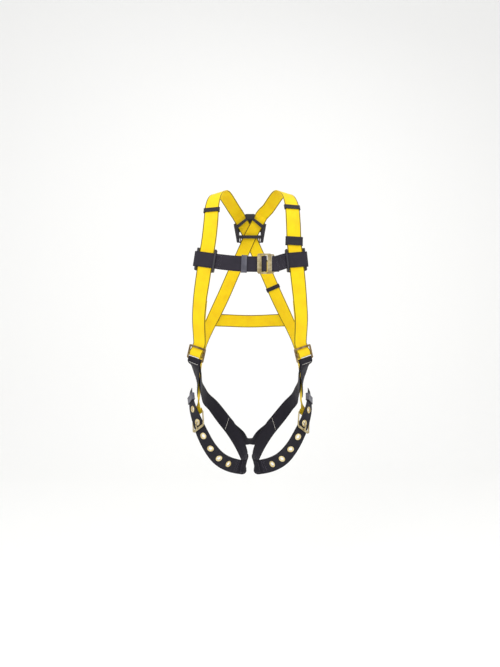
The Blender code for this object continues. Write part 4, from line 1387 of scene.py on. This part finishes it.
@dataclass
class LegLoop(Assembly):
    """Rear leg strap, punched grommet strap with its eyelets, and the free end's keeper."""

    flange: float = 0.0103
    hole: float = 0.0058
    hole_cut: float = 0.0066
    keeper_length: float = 0.022
    keeper_room: tuple[float, float] = (0.0046, 0.0050)
    keeper_from_end: float = 0.030

    @staticmethod
    def places(side: Side) -> list[Section]:
        """Places along the grommet strap, from the crotch end."""
        return sections(mirrored(GROMMET_ROUTE, side.value), LEG_STEP)

    def eyelet(self, name: str, place: Section) -> bpy.types.Object:
        """Spin one eyelet: a barrel with a rolled flange on each face.

        Args:
            name: The piece's name.
            place: Where it sits.

        Returns:
            The eyelet.
        """
        face = WEB_THICK / 2
        half = [(self.hole, 0.0), (self.hole, face + 0.0003), (self.hole + 0.0005, face + 0.0011),
                (self.hole + 0.0014, face + 0.0015), (self.hole + 0.0027, face + 0.0014),
                (self.flange - 0.0009, face + 0.0010), (self.flange - 0.0002, face + 0.0005),
                (self.flange, face + 0.00005), (self.flange - 0.0006, face - 0.0003),
                (self.hole + 0.0012, face - 0.0004), (self.hole + 0.0008, 0.0)]
        lower = [(r, -h) for r, h in reversed(half[1:-1])]
        profile = half + lower
        return turned(name, place.centre, place.out, place.across, profile, 40)

    def build(self, side: Side) -> None:
        """Build one leg loop.

        Args:
            side: Which leg.
        """
        word = side.word
        front = Strap(f"grommet_webbing_{word}", mirrored(GROMMET_ROUTE, side.value))
        front.openings = [Opening(d, self.hole_cut, self.hole_cut) for d in EYELETS]
        self.dress(front.build(), Finish.BLACK, f"grommet_strap_{word}")
        for index, distance in enumerate(EYELETS):
            ring = self.eyelet(f"eyelet_{word}_{index + 1}", at_length(self.places(side), distance))
            self.dress(ring, Finish.BRASS, f"grommet_{word}_{index + 1}")
        rear = Strap(f"rear_leg_webbing_{word}", mirrored(REAR_LEG_ROUTE, side.value))
        self.dress(rear.build(), Finish.BLACK, f"rear_leg_strap_{word}")
        pelvic = BRIDGE_RUNS[0][0] - 0.008
        marker = Seam(f"pelvic_marker_stitch_{word}", rear, Face.INNER, thread=0.0017,
                      stitch=0.0046, gap=0.0006)
        marker.across(pelvic + 0.018, 0.0045, side.value * 0.024)
        self.dress(marker.build(), Finish.WHITE_THREAD)
        sewn = Seam(f"leg_corner_stitch_{word}", front, Face.OUTER).zigzag(0.036).zigzag(0.047)
        self.dress(sewn.build(), Finish.BLACK_THREAD)
        inside = Seam(f"leg_inner_stitch_{word}", rear, Face.INNER)
        inside.box(rear.length - 0.036, rear.length - 0.006)
        inside.box(0.006, 0.040)
        self.dress(inside.build(), Finish.BLACK_THREAD)
        self.corner(front, rear, word)
        place = at_length(self.places(side), run_length(self.places(side)) - self.keeper_from_end)
        axes = Axes(place.centre, place.along, place.out)
        keeper = sleeve(f"leg_keeper_ring_{word}", axes, self.keeper_length,
                        WEB_WIDTH + self.keeper_room[0], WEB_THICK + self.keeper_room[1],
                        0.0016, 0.0005)
        self.dress(keeper, Finish.GREY, f"leg_keeper_{word}", body=f"leg_keeper_{word}")

    def corner(self, front: Strap, rear: Strap, word: str) -> None:
        """Sew the short patch that wraps the crotch corner, over both strap ends.

        Args:
            front: The punched strap.
            rear: The rear leg strap.
            word: The side's name.
        """
        pairs: list[Pair] = []
        for strap, distance in ((rear, rear.length - 0.026), (rear, rear.length - 0.010),
                                (front, 0.006), (front, 0.024)):
            place = at_length(strap.places, distance)
            pairs.append((place.centre + place.out * (WEB_THICK + 0.0003), place.out))
        patch = Strap(f"crotch_patch_{word}", pairs, WEB_WIDTH - 0.001, row=TURN_ROW)
        self.dress(patch.build(), Finish.BLACK)
        sewn = Seam(f"crotch_patch_stitch_{word}", patch, Face.OUTER)
        sewn.box(0.004, patch.length - 0.004, crossed=False).across(patch.length / 2)
        self.dress(sewn.build(), Finish.BLACK_THREAD)


@dataclass
class HipAdjuster(Assembly):
    """Stamped adjuster frame with a knurled slide bar, and the doubled link strap below it."""

    width: float = 0.062
    length: float = 0.044
    thick: float = 0.0032
    bar: float = 0.0060
    slide_half: float = 0.0045

    @staticmethod
    def axes(side: Side) -> Axes:
        """The adjuster's axes: u runs down the strap, w out from the wearer."""
        level = Vector((0.89, 0.45, 0.0)).normalized()
        tilt = math.radians(15)
        down = level * math.sin(tilt) - Vector((0, 0, 1)) * math.cos(tilt)
        mirror = Vector((side.value, 1, 1))
        return Axes(Vector((0.1645, -0.0885, -0.5290)) * mirror, down * mirror,
                    Vector((0.45, -0.89, 0.0)).normalized() * mirror)

    def link_pairs(self, side: Side) -> list[Pair]:
        """The link strap's route, doubled over the frame's lower bar.

        Args:
            side: Which hip.

        Returns:
            Control points with their normals.
        """
        hip = self.axes(side)
        bar_u = self.length / 2 - self.bar / 2
        radius = self.bar / 2 + WEB_THICK / 2 + CLEARANCE + 0.0007
        outer: Route = [(0.1700, -0.0620, -0.5850, 0.74, -0.67, 0.0),
                        (0.1690, -0.0440, -0.6150, 0.93, -0.36, 0.0),
                        (0.1670, -0.0310, -0.6400, 1.00, -0.02, 0.0),
                        (0.1670, -0.0200, -0.6620, 1.00, 0.00, 0.0)]
        inner: Route = [(0.1610, -0.0600, -0.5800, 0.84, -0.54, 0.0),
                        (0.1570, -0.0450, -0.6030, 0.99, -0.08, 0.0),
                        (0.1574, -0.0310, -0.6300, 1.00, 0.00, 0.0),
                        (0.1562, -0.0190, -0.6520, 1.00, 0.00, 0.0)]
        pairs = list(reversed(mirrored(outer, side.value)))
        pairs.append(hip.run(bar_u + 0.0140, 0.0019))
        pairs += list(reversed(hip.arc(bar_u, 0.0, radius, -180, 0, 8)))
        pairs.append((hip.at(bar_u + 0.0140, 0, -0.0019), -hip.w))
        pairs += [(place, -normal) for place, normal in mirrored(inner, side.value)]
        return pairs

    def build(self, side: Side) -> None:
        """Build one adjuster and its link strap.

        Args:
            side: Which hip.
        """
        hip = self.axes(side)
        half_u, half_v, half_t = self.length / 2, self.width / 2, self.thick / 2
        outline = rounded(-half_u, half_u, -half_v, half_v, 0.004)
        window = rounded(-half_u + self.bar, half_u - self.bar, -half_v + 0.0055,
                         half_v - 0.0055, 0.0015, 4)
        body = plate(f"adjuster_frame_{side.word}", hip, outline, [window], -half_t, half_t, 0.0009)
        self.dress(body, Finish.BRONZED, f"hip_adjuster_frame_{side.word}")
        bar_body = f"hip_slide_bar_{side.word}"
        core = rounded(-self.slide_half, self.slide_half - 0.001, -half_v + 0.0058,
                       half_v - 0.0058, 0.0012, 3)
        bar = plate(f"knurled_bar_{side.word}", hip, core, [], -0.0016, 0.0024, 0.0011)
        self.dress(bar, Finish.KNURLED, bar_body, body=bar_body)
        for s in (-1, 1):
            v_low, v_high = sorted((s * (WEB_WIDTH / 2 + 0.0012), s * (half_v - 0.0015)))
            tab = rounded(-self.slide_half + 0.0005, self.slide_half - 0.0015, v_low, v_high,
                          0.0012, 4)
            ear = plate(f"bar_ear_{side.word}_{'inner' if s < 0 else 'outer'}", hip, tab, [],
                        0.0020, 0.0036, 0.0005)
            self.dress(ear, Finish.BRONZED, body=bar_body)
        link = Strap(f"link_webbing_{side.word}", self.link_pairs(side), row=TURN_ROW)
        self.dress(link.build(), Finish.BLACK, f"hip_link_strap_{side.word}")
        below = link.near(hip.at(half_u + 0.0085, 0, 0.0030))
        marker = Seam(f"link_marker_stitch_{side.word}", link, Face.OUTER, thread=0.0015,
                      stitch=0.0042, gap=0.0006).across(below, 0.006)
        self.dress(marker.build(), Finish.WHITE_THREAD)
        tack = Seam(f"link_stitch_{side.word}", link, Face.OUTER).box(0.005, 0.036)
        self.dress(tack.zigzag(0.046).build(), Finish.BLACK_THREAD)


@dataclass
class TorsoStraps(Assembly):
    """The two long straps, and the waist and sub-pelvic straps sewn to the harness."""

    tail_gap: float = 0.0030

    def shoulder_pairs(self, side: Side) -> list[Pair]:
        """One torso strap from its shoulder over the back to the other hip.

        Args:
            side: Which shoulder.

        Returns:
            Control points with their normals.
        """
        pairs = mirrored(FRONT_ROUTE, side.value)
        layer = -BACK_LAYERING if side is Side.LEFT else BACK_LAYERING
        pad = pad_axes()
        for u, x in ((-0.0760, 0.0435), (-0.0620, 0.0352), (-0.0310, 0.0172), (0.0, 0.0),
                     (0.0240, -0.0112)):
            pairs.append((Vector((side.value * x, 0, 0)) + pad.at(u, 0, layer), pad.w))
        for index, (place, normal) in enumerate(mirrored(BACK_ROUTE, side.value)):
            share = max(0.0, 1.0 - index / 4)
            pairs.append((place + Vector((0, layer * share, 0)), normal))
        return pairs

    def route(self, side: Side, buckle: LegBuckle) -> list[Pair]:
        """The whole strap: tail, turn round the slide bar, shoulder, back and leg loop.

        Args:
            side: Which shoulder.
            buckle: The leg buckle's sizes.

        Returns:
            Control points with their normals.
        """
        hip = HipAdjuster.axes(side)
        half = WEB_THICK / 2 + CLEARANCE
        bar = 0.0020 + half + 0.0016
        tail = [(place - normal * self.tail_gap, -normal)
                for place, normal in mirrored(FRONT_ROUTE[:2], side.value)]
        pairs = list(reversed(tail))
        pairs += [hip.run(-0.0360, -0.0062, -1), hip.run(-0.0200, -0.0060, -1)]
        pairs += [hip.run(-0.0060, -bar, -1), hip.run(0.0020, -bar, -1)]
        pairs += list(reversed(hip.arc(0.0055, 0.0, bar, 0, 180, 6)))
        pairs += [hip.run(0.0010, bar), hip.run(-0.0055, 0.0040), hip.run(-0.0140, -0.0026)]
        pairs += [hip.run(-0.0240, -0.0033), hip.run(-0.0360, -0.0033)]
        pairs += self.shoulder_pairs(side)
        leg = buckle.axes(side.other)
        radius = buckle.rod + half + 0.0002
        last = pairs[-1]
        pairs.append((last[0].lerp(leg.at(buckle.hinge_u - 0.010, 0, buckle.hinge_w), 0.5),
                      last[1].lerp(leg.w, 0.5).normalized()))
        pairs.append(leg.run(buckle.hinge_u - 0.0080, buckle.hinge_w + radius - 0.0012))
        pairs += leg.arc(buckle.hinge_u, buckle.hinge_w, radius, 0, 180, 6)
        pairs.append(leg.run(buckle.hinge_u - 0.0120, buckle.hinge_w - radius - 0.0008, -1))
        return pairs

    def build(self, buckle: LegBuckle) -> None:
        """Build the torso, waist and sub-pelvic straps.

        Args:
            buckle: The leg buckle's sizes.
        """
        for side in Side:
            strap = Strap(f"torso_webbing_{side.word}", self.route(side, buckle))
            leg = buckle.axes(side.other)
            turn = strap.near(leg.at(buckle.hinge_u + 0.0035, 0, buckle.hinge_w))
            strap.openings = [Opening(turn, 0.0110, 0.0054)]
            self.dress(strap.build(), Finish.YELLOW, f"torso_strap_{side.word}")
            sewn = Seam(f"torso_stitch_{side.word}", strap, Face.OUTER, thread=0.0013)
            sewn.across(0.004).across(0.009)
            sewn.zigzag(turn - 0.026).zigzag(turn - 0.036)
            hip = strap.near(Vector((-side.value * 0.1640, -0.0130, -0.6250)))
            sewn.box(hip - 0.018, hip + 0.016)
            self.dress(sewn.build(), Finish.YELLOW_THREAD)
        self.waist()
        self.bridge()

    def waist(self) -> None:
        """Build the strap over the small of the back."""
        pairs = mirrored(WAIST_ROUTE, 1)
        for side in (1, -1):
            place = at_height(sections(mirrored(BACK_ROUTE, -side), HEIGHT_STEP), WAIST_HEIGHT)
            level = Vector((0, 0, 1)).cross(place.out).normalized()
            level = level if level.x * side > 0 else -level
            base = place.centre + place.out * 0.0036
            ends = [(base, place.out), (base + level * 0.009, place.out)]
            pairs = pairs + ends if side > 0 else list(reversed(ends)) + pairs
        strap = Strap("back_waist_webbing", pairs)
        self.dress(strap.build(), Finish.YELLOW, "back_waist_strap")
        sewn = Seam("back_waist_stitch", strap, Face.OUTER, thread=0.0013)
        sewn.box(0.005, 0.034).box(strap.length - 0.034, strap.length - 0.005)
        self.dress(sewn.build(), Finish.YELLOW_THREAD)

    def bridge(self) -> None:
        """Build the strap that joins the leg loops behind."""
        halves: list[list[Pair]] = []
        for side in (-1, 1):
            places = sections(mirrored(REAR_LEG_ROUTE, side), LEG_STEP)
            half: list[Pair] = []
            for distance, lift in BRIDGE_RUNS:
                place = at_length(places, distance)
                half.append((place.centre + place.out * lift, place.out))
            halves.append(half)
        pairs = halves[0] + mirrored(BRIDGE_MIDDLE, 1) + list(reversed(halves[1]))
        strap = Strap("sub_pelvic_webbing", pairs)
        self.dress(strap.build(), Finish.BLACK, "sub_pelvic_strap")
        sewn = Seam("sub_pelvic_stitch", strap, Face.OUTER)
        sewn.box(0.005, 0.032).box(strap.length - 0.032, strap.length - 0.005)
        self.dress(sewn.build(), Finish.BLACK_THREAD)


@dataclass
class ChestBand(Assembly):
    """Guides on the front straps, the two strap halves, the buckle and the loose end's keeper."""

    guide_width: float = 0.0615
    guide_height: float = 0.070
    guide_rail: float = 0.0058
    guide_bridge: float = 0.0088
    buckle_width: float = 0.042
    buckle_height: float = 0.059
    frame_bar: float = 0.0050
    frame_bar_v: float = -0.0264
    slide_rear: float = -0.0052
    web_face: float = 0.0016
    window_half: float = 0.0246
    body: str = "chest_band"

    @staticmethod
    def guide_axes(side: Side) -> Axes:
        """A guide's axes: u down the strap, w away from the chest."""
        place = at_height(sections(mirrored(FRONT_ROUTE, side.value), HEIGHT_STEP), CHEST_HEIGHT)
        return Axes(place.centre, -place.along, place.out)

    @staticmethod
    def buckle_axes() -> Axes:
        """The buckle's axes: u down, v to the wearer's right, w away from the chest."""
        return Axes((0.0420, -0.1500, -0.2652), (0, 0, -1), (0, -1, 0))

    def loop(self, side: Side) -> list[Pair]:
        """Strap points round a guide: rear layer first, then the front one.

        Args:
            side: Which guide.

        Returns:
            Control points with their normals.
        """
        guide = self.guide_axes(side)
        inward = guide.v if guide.v.x * side.value < 0 else -guide.v
        axes = Axes(guide.origin, inward, guide.w)
        half_v = self.guide_width / 2
        front = self.web_face + WEB_THICK / 2 + 0.0008
        rear = self.slide_rear - WEB_THICK / 2 - 0.0004
        middle, radius = (front + rear) / 2, (front - rear) / 2
        pairs = [axes.run(half_v - 0.004, rear, -1), axes.run(0.0, rear, -1)]
        pairs.append(axes.run(-half_v + 0.003, rear, -1))
        pairs += axes.arc(-half_v, middle, radius, 180, 360, 6)[1:-1]
        pairs += [axes.run(-half_v + 0.003, front), axes.run(0.0, front)]
        pairs.append(axes.run(half_v - 0.002, front))
        return pairs

    def left_route(self) -> list[Pair]:
        """The wearer's left half, which ends in a loop on the buckle frame's bar."""
        buckle = self.buckle_axes()
        radius = self.frame_bar / 2 + WEB_THICK / 2 + CLEARANCE + 0.0003
        pairs = self.loop(Side.LEFT)
        pairs.append((Vector((0.0905, -0.1395, -0.2590)), Vector((0.30, -0.95, 0))))
        bar = Axes(buckle.at(0, self.frame_bar_v, 0), buckle.v, buckle.w)
        pairs += [bar.run(-0.0080, radius), bar.run(-0.0020, radius)]
        pairs += bar.arc(0, 0, radius, 0, 180, 6)[1:-1]
        for u, w in ((-0.0020, -radius), (-0.0080, -radius), (-0.0170, -radius + 0.0006)):
            pairs.append(bar.run(u, w, -1))
        return pairs

    def right_route(self) -> list[Pair]:
        """The wearer's right half: through the frame, round the plate, loose tail behind."""
        buckle = self.buckle_axes()
        pairs = self.loop(Side.RIGHT)
        pairs.append((Vector((-0.0840, -0.1372, -0.2575)), Vector((-0.26, -0.96, 0))))
        pairs.append((Vector((-0.0550, -0.1430, -0.2615)), Vector((-0.12, -0.99, 0))))
        pairs.append((Vector((-0.0170, -0.1465, -0.2645)), Vector((-0.03, -1.0, 0))))
        path = ((0.0240, -0.0032, 0), (0.0150, -0.0028, 10), (0.0095, -0.0008, 40),
                (0.0062, 0.0026, 70), (0.0040, 0.0052, 35), (0.0, 0.0060, 0),
                (-0.0040, 0.0052, -35), (-0.0062, 0.0024, -80), (-0.0060, -0.0014, -115),
                (-0.0030, -0.0050, -150), (0.0050, -0.0064, -178), (0.0240, -0.0062, -180))
        for v, w, turn in path:
            lean = math.radians(turn)
            pairs.append((buckle.at(0, v, w), buckle.direction(0, math.sin(lean), math.cos(lean))))
        pairs.append((Vector((-0.0170, -0.1433, -0.2645)), Vector((0.03, 1.0, 0))))
        pairs.append((Vector((-0.0500, -0.1402, -0.2618)), Vector((0.10, 0.99, 0))))
        return pairs

    def guide(self, side: Side) -> None:
        """Mould one guide: a windowed slide, two rounded rails, and a bridge on two posts.

        Args:
            side: Which front strap it slides on.
        """
        axes = self.guide_axes(side)
        half_u, half_v = self.guide_height / 2, self.guide_width / 2
        outline = rounded(-half_u, half_u, -half_v, half_v, 0.008)
        window = rounded(-half_u + 0.012, half_u - 0.012, -half_v + 0.0085, half_v - 0.0085,
                         0.002, 4)
        slide = plate(f"guide_slide_{side.word}", axes, outline, [window],
                      self.slide_rear, -0.0026, 0.0008)
        self.dress(slide, Finish.PLASTIC, f"chest_guide_{side.word}", body=self.body)
        inner = -1 if axes.v.x * side.value > 0 else 1
        pieces = []
        for s in (-1, 1):
            across = sorted((s * (half_v - self.guide_rail), s * (half_v - 0.0002)))
            shape = rounded(-half_u + 0.001, half_u - 0.001, *across, 0.0027)
            pieces.append((f"rail_{side.word}_{'a' if s < 0 else 'b'}", shape, -0.0050, 0.0019,
                           0.0014))
        v_low, v_high = sorted((inner * (half_v - self.guide_rail + 0.0004),
                                inner * (half_v - 0.0006)))
        for s in (-1, 1):
            along = sorted((s * (WEB_WIDTH / 2 + 0.0040), s * (half_u - 0.0018)))
            pieces.append((f"post_{side.word}_{'top' if s < 0 else 'foot'}",
                           rounded(*along, v_low, v_high, 0.0014, 4), -0.0040,
                           self.guide_bridge - 0.0006, 0.0006))
        shape = rounded(-half_u + 0.0012, half_u - 0.0012, v_low - 0.0002, v_high + 0.0002, 0.0024)
        pieces.append((f"bridge_{side.word}", shape, self.guide_bridge - 0.0022,
                       self.guide_bridge, 0.0009))
        for name, shape, low, high, bevel in pieces:
            self.dress(plate(f"guide_{name}", axes, shape, [], low, high, bevel), Finish.PLASTIC,
                       body=self.body)

    def buckle(self) -> None:
        """Stamp the buckle's frame and plate."""
        axes = self.buckle_axes()
        half_u, half_v = self.buckle_height / 2, self.buckle_width / 2
        bar_low = self.frame_bar_v - self.frame_bar / 2
        bar_high = self.frame_bar_v + self.frame_bar / 2
        outline = rounded(-half_u + 0.0015, half_u - 0.0015, bar_low, 0.0190, 0.004)
        window = rounded(-self.window_half, self.window_half, bar_high, 0.0142, 0.002, 4)
        body = plate("chest_frame_stamping", axes, outline, [window], -0.0012, 0.0012, 0.0006)
        self.dress(body, Finish.STEEL, "chest_buckle_frame", body=self.body)
        outline = rounded(-half_u, half_u, -half_v, half_v, 0.006)
        slots = [rounded(-self.window_half, self.window_half, *span, 0.0012, 4)
                 for span in ((-0.0086, -0.0024), (0.0024, 0.0086))]
        seat = plate("chest_plate_stamping", axes, outline, slots, 0.0018, 0.0042, 0.0008)
        self.dress(seat, Finish.STEEL, "chest_buckle_plate", body=self.body)

    def build(self) -> None:
        """Build the whole chest band."""
        for side in Side:
            self.guide(side)
        for side, route in ((Side.LEFT, self.left_route()), (Side.RIGHT, self.right_route())):
            strap = Strap(f"chest_webbing_{side.word}", route, row=TURN_ROW)
            self.dress(strap.build(), Finish.CHEST, f"chest_strap_{side.word}",
                           body=self.body)
            sewn = Seam(f"chest_stitch_{side.word}", strap, Face.OUTER)
            bend = strap.near(self.guide_axes(side).origin + Vector((0, -0.004, 0)))
            sewn.box(bend + 0.030, bend + 0.052)
            if side is Side.LEFT:
                sewn.zigzag(strap.near(self.buckle_axes().at(0, -0.040, 0.003)), 0.006)
            self.dress(sewn.build(), Finish.BLACK_THREAD, body=self.body)
        self.buckle()
        axes = Axes((-0.0170, -0.1449, -0.2645), (1, -0.03, -0.04), (0, -1, 0))
        slider = sleeve("chest_tail_keeper", axes, 0.0165, WEB_WIDTH + 0.003, 0.0072, 0.0016, 0.0005)
        self.dress(slider, Finish.GREY, "chest_tail_slider", body="chest_tail_slider")


@dataclass
class DorsalPad(Assembly):
    """Moulded plate that holds the crossing straps, and the ring that hangs from it."""

    inner: float = 0.0036
    outer: float = 0.0062
    front: float = -0.0122
    ring_half: float = 0.0338
    ring_arm: float = 0.0200
    ring_rod: float = 0.0027
    pivot_w: float = -0.0060
    stand_off: float = math.radians(47)

    def build(self) -> None:
        """Build the pad and its ring."""
        pad = pad_axes()
        hexagon = [(-0.079, -0.017), (-0.079, 0.017), (-0.043, 0.0585), (0.0205, 0.0470),
                   (0.0205, -0.0470), (-0.043, -0.0585)]
        slots = [rounded(-0.0170, 0.0160, s * self.ring_half - 0.0042, s * self.ring_half + 0.0042,
                         0.0015, 4) for s in (-1, 1)]
        rear = plate("pad_rear_plate", pad, softened(hexagon, 0.007), slots, self.inner,
                     self.outer, 0.0009)
        self.dress(rear, Finish.PLASTIC, "dorsal_pad")
        rim_out = softened([(u * 0.97, v * 0.965) for u, v in hexagon], 0.008)
        rim_in = softened([(u * 0.92 - 0.001, v * 0.90) for u, v in hexagon], 0.007)
        pieces = [("pad_rear_rim", rim_out, [rim_in], self.outer - 0.0004, self.outer + 0.0012)]
        for k, u in enumerate((-0.058, -0.049, -0.040)):
            rib = rounded(u - 0.0013, u + 0.0013, -0.018, 0.018, 0.0012, 4)
            pieces.append((f"pad_rib_{k}", rib, [], self.outer - 0.0004, self.outer + 0.0011))
        for s, tag in ((-1, "right"), (1, "left")):
            cheek = [(-0.0440, s * 0.0580), (-0.0440, s * 0.0516), (-0.0260, s * 0.0428),
                     (-0.0050, s * 0.0390), (0.0200, s * 0.0380), (0.0200, s * 0.0468)]
            pieces.append((f"pad_cheek_{tag}", softened(cheek, 0.0015), [], self.front,
                           self.inner + 0.001))
            bar = [(-0.0660, s * 0.0120), (-0.0600, s * 0.0050), (-0.0300, s * 0.0420),
                   (-0.0370, s * 0.0520)]
            pieces.append((f"pad_diagonal_{tag}", softened(bar, 0.002), [], self.front,
                           self.front + 0.0030))
        top = [(-0.0785, -0.0165), (-0.0785, 0.0165), (-0.0640, 0.0165), (-0.0590, 0.0),
               (-0.0640, -0.0165)]
        pieces.append(("pad_top", softened(top, 0.0025), [], self.front, self.front + 0.0030))
        column = [(-0.0775, -0.0150), (-0.0775, 0.0150), (-0.0645, 0.0075), (-0.0645, -0.0075)]
        pieces.append(("pad_column", softened(column, 0.0015), [], self.front + 0.0012,
                       self.inner + 0.0012))
        pieces.append(("pad_bar", rounded(-0.0055, 0.0055, -0.0420, 0.0420, 0.0015, 4), [],
                       self.front, self.front + 0.0025))
        for name, outline, holes, low, high in pieces:
            self.dress(plate(name, pad, outline, holes, low, high, 0.0006), Finish.PLASTIC)
        self.ring(pad)

    def ring(self, pad: Axes) -> None:
        """Bend the forged ring: a straight bar with round corners, and a half-round bow.

        Args:
            pad: The pad's axes.
        """
        hang = pad.direction(math.cos(self.stand_off), 0, math.sin(self.stand_off))
        plane = hang.cross(pad.v).normalized()
        pivot = pad.at(0, 0, self.pivot_w)
        corner = 0.0060
        local: list[Point2] = []
        for s, start, end in ((-1, 180, 90), (1, 90, 0)):
            for k in range(7):
                angle = math.radians(start + (end - start) * k / 6)
                local.append((corner - corner * math.sin(angle),
                              s * (self.ring_half - corner) + corner * math.cos(angle)))
        local.append((self.ring_arm, self.ring_half))
        for k in range(1, 24):
            angle = math.pi * k / 24
            local.append((self.ring_arm + self.ring_half * math.sin(angle),
                          self.ring_half * math.cos(angle)))
        local.append((self.ring_arm, -self.ring_half))
        path = [(pivot + hang * u + pad.v * v, plane) for u, v in local]
        made = rod("dorsal_ring", path, self.ring_rod)
        self.dress(made, Finish.STEEL, "dorsal_d_ring", body="dorsal_d_ring")


@dataclass
class Keepers(Assembly):
    """Elastic keepers on the torso straps."""

    wall: float = 0.0013

    def build(self) -> None:
        """Build each keeper where its strap passes its height."""
        plain = (0.0, 0.0014, 0.0030)
        made = [("shoulder_keeper_left", mirrored(FRONT_ROUTE, 1), -0.0830, 0.016, plain),
                ("shoulder_keeper_right", mirrored(FRONT_ROUTE, -1), -0.0930, 0.016, plain),
                ("lanyard_keeper", mirrored(FRONT_ROUTE, 1), -0.1925, 0.026,
                 (math.radians(6), 0.0022, 0.0050)),
                ("back_strap_keeper", mirrored(BACK_ROUTE, -1), -0.3060, 0.014, plain)]
        for name, pairs, height, length, (tilt, slack, spare) in made:
            place = at_height(sections(pairs, HEIGHT_STEP), height)
            axes = Axes(place.centre, place.along, place.out)
            axes = Axes(place.centre, axes.direction(math.cos(tilt), math.sin(tilt), 0), place.out)
            band = sleeve(name + "_band", axes, length, WEB_WIDTH + spare,
                          WEB_THICK + 2 * slack, self.wall, 0.0002)
            self.dress(band, Finish.ELASTIC, name, body=name)


@dataclass
class Studio:
    """Pale sweep, soft lights and the camera."""

    camera_at: tuple[float, float, float] = (0.0, -1.315, -0.468)
    lens_mm: float = 21.59
    drop: float = 0.55
    wall_y: float = 2.4
    wall_top: float = 5.0
    near_edge: float = -4.5
    half_width: float = 7.0
    bend: float = 0.8
    world_strength: float = 0.78

    def sweep(self) -> None:
        """Make the floor, which curves up into a wall behind."""
        low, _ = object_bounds()
        floor = low[2] - self.drop
        line = [(self.near_edge, floor), (self.wall_y - self.bend, floor)]
        for k in range(1, 13):
            angle = math.radians(90 * k / 12)
            line.append((self.wall_y - self.bend + self.bend * math.sin(angle),
                         floor + self.bend - self.bend * math.cos(angle)))
        line.append((self.wall_y, self.wall_top))
        bm = bmesh.new()
        rows = [[bm.verts.new((x, y, z)) for y, z in line]
                for x in (-self.half_width, self.half_width)]
        for (a, b), (c, d) in zip(zip(rows[0], rows[0][1:]), zip(rows[1], rows[1][1:])):
            bm.faces.new((a, b, d, c))
        mesh = bpy.data.meshes.new("studio_sweep")
        bm.to_mesh(mesh)
        bm.free()
        mesh.shade_smooth()
        paper, tree, shader = new_material("white_paper")
        feed(tree, shader, {"Base Color": linear("#fbfbfa"), "Roughness": 0.95})
        mesh.materials.append(paper)
        put("studio_sweep", mesh)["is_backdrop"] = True

    def lamp(self, name: str, place: tuple[float, float, float], target: tuple[float, float, float],
             size: float, power: float) -> None:
        """Hang one soft box.

        Args:
            name: The lamp's name.
            place: Where it hangs.
            target: What it faces.
            size: Its side.
            power: Its power in watts.
        """
        data = bpy.data.lights.new(name, "AREA")
        data.size = size
        data.energy = power
        made = put(name, data)
        made.location = place
        aim = Vector(target) - Vector(place)
        made.rotation_euler = aim.to_track_quat("-Z", "Y").to_euler()

    def build(self) -> None:
        """Set up the sweep, lights, world and camera."""
        self.sweep()
        middle = (0.0, 0.0, -0.45)
        self.lamp("key_box", (-1.6, -2.4, 1.3), middle, 1.6, 34.0)
        self.lamp("fill_box", (2.2, -2.0, 0.2), middle, 1.8, 14.0)
        self.lamp("top_box", (0.5, -0.4, 2.2), middle, 1.4, 16.0)
        world = bpy.data.worlds.new("studio_world")
        world.use_nodes = True
        feed(world.node_tree, world.node_tree.nodes["Background"],
             {"Color": (1.0, 1.0, 1.0, 1.0), "Strength": self.world_strength})
        bpy.context.scene.world = world
        bpy.context.scene.view_settings.view_transform = "Standard"
        data = bpy.data.cameras.new("catalogue_camera")
        data.sensor_width = 36.0
        data.lens = self.lens_mm
        camera = put("catalogue_camera", data)
        camera.location = self.camera_at
        camera.rotation_euler = (math.radians(90), 0.0, 0.0)
        bpy.context.scene.camera = camera


def main() -> None:
    logging.basicConfig(level=logging.INFO)
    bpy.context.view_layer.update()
    wardrobe = Wardrobe()
    buckle = LegBuckle(wardrobe)
    TorsoStraps(wardrobe).build(buckle)
    DorsalPad(wardrobe).build()
    ChestBand(wardrobe).build()
    for side in Side:
        HipAdjuster(wardrobe).build(side)
        LegLoop(wardrobe).build(side)
        buckle.build(side)
    Keepers(wardrobe).build()
    Studio().build()


if __name__ == "__main__":
    main()
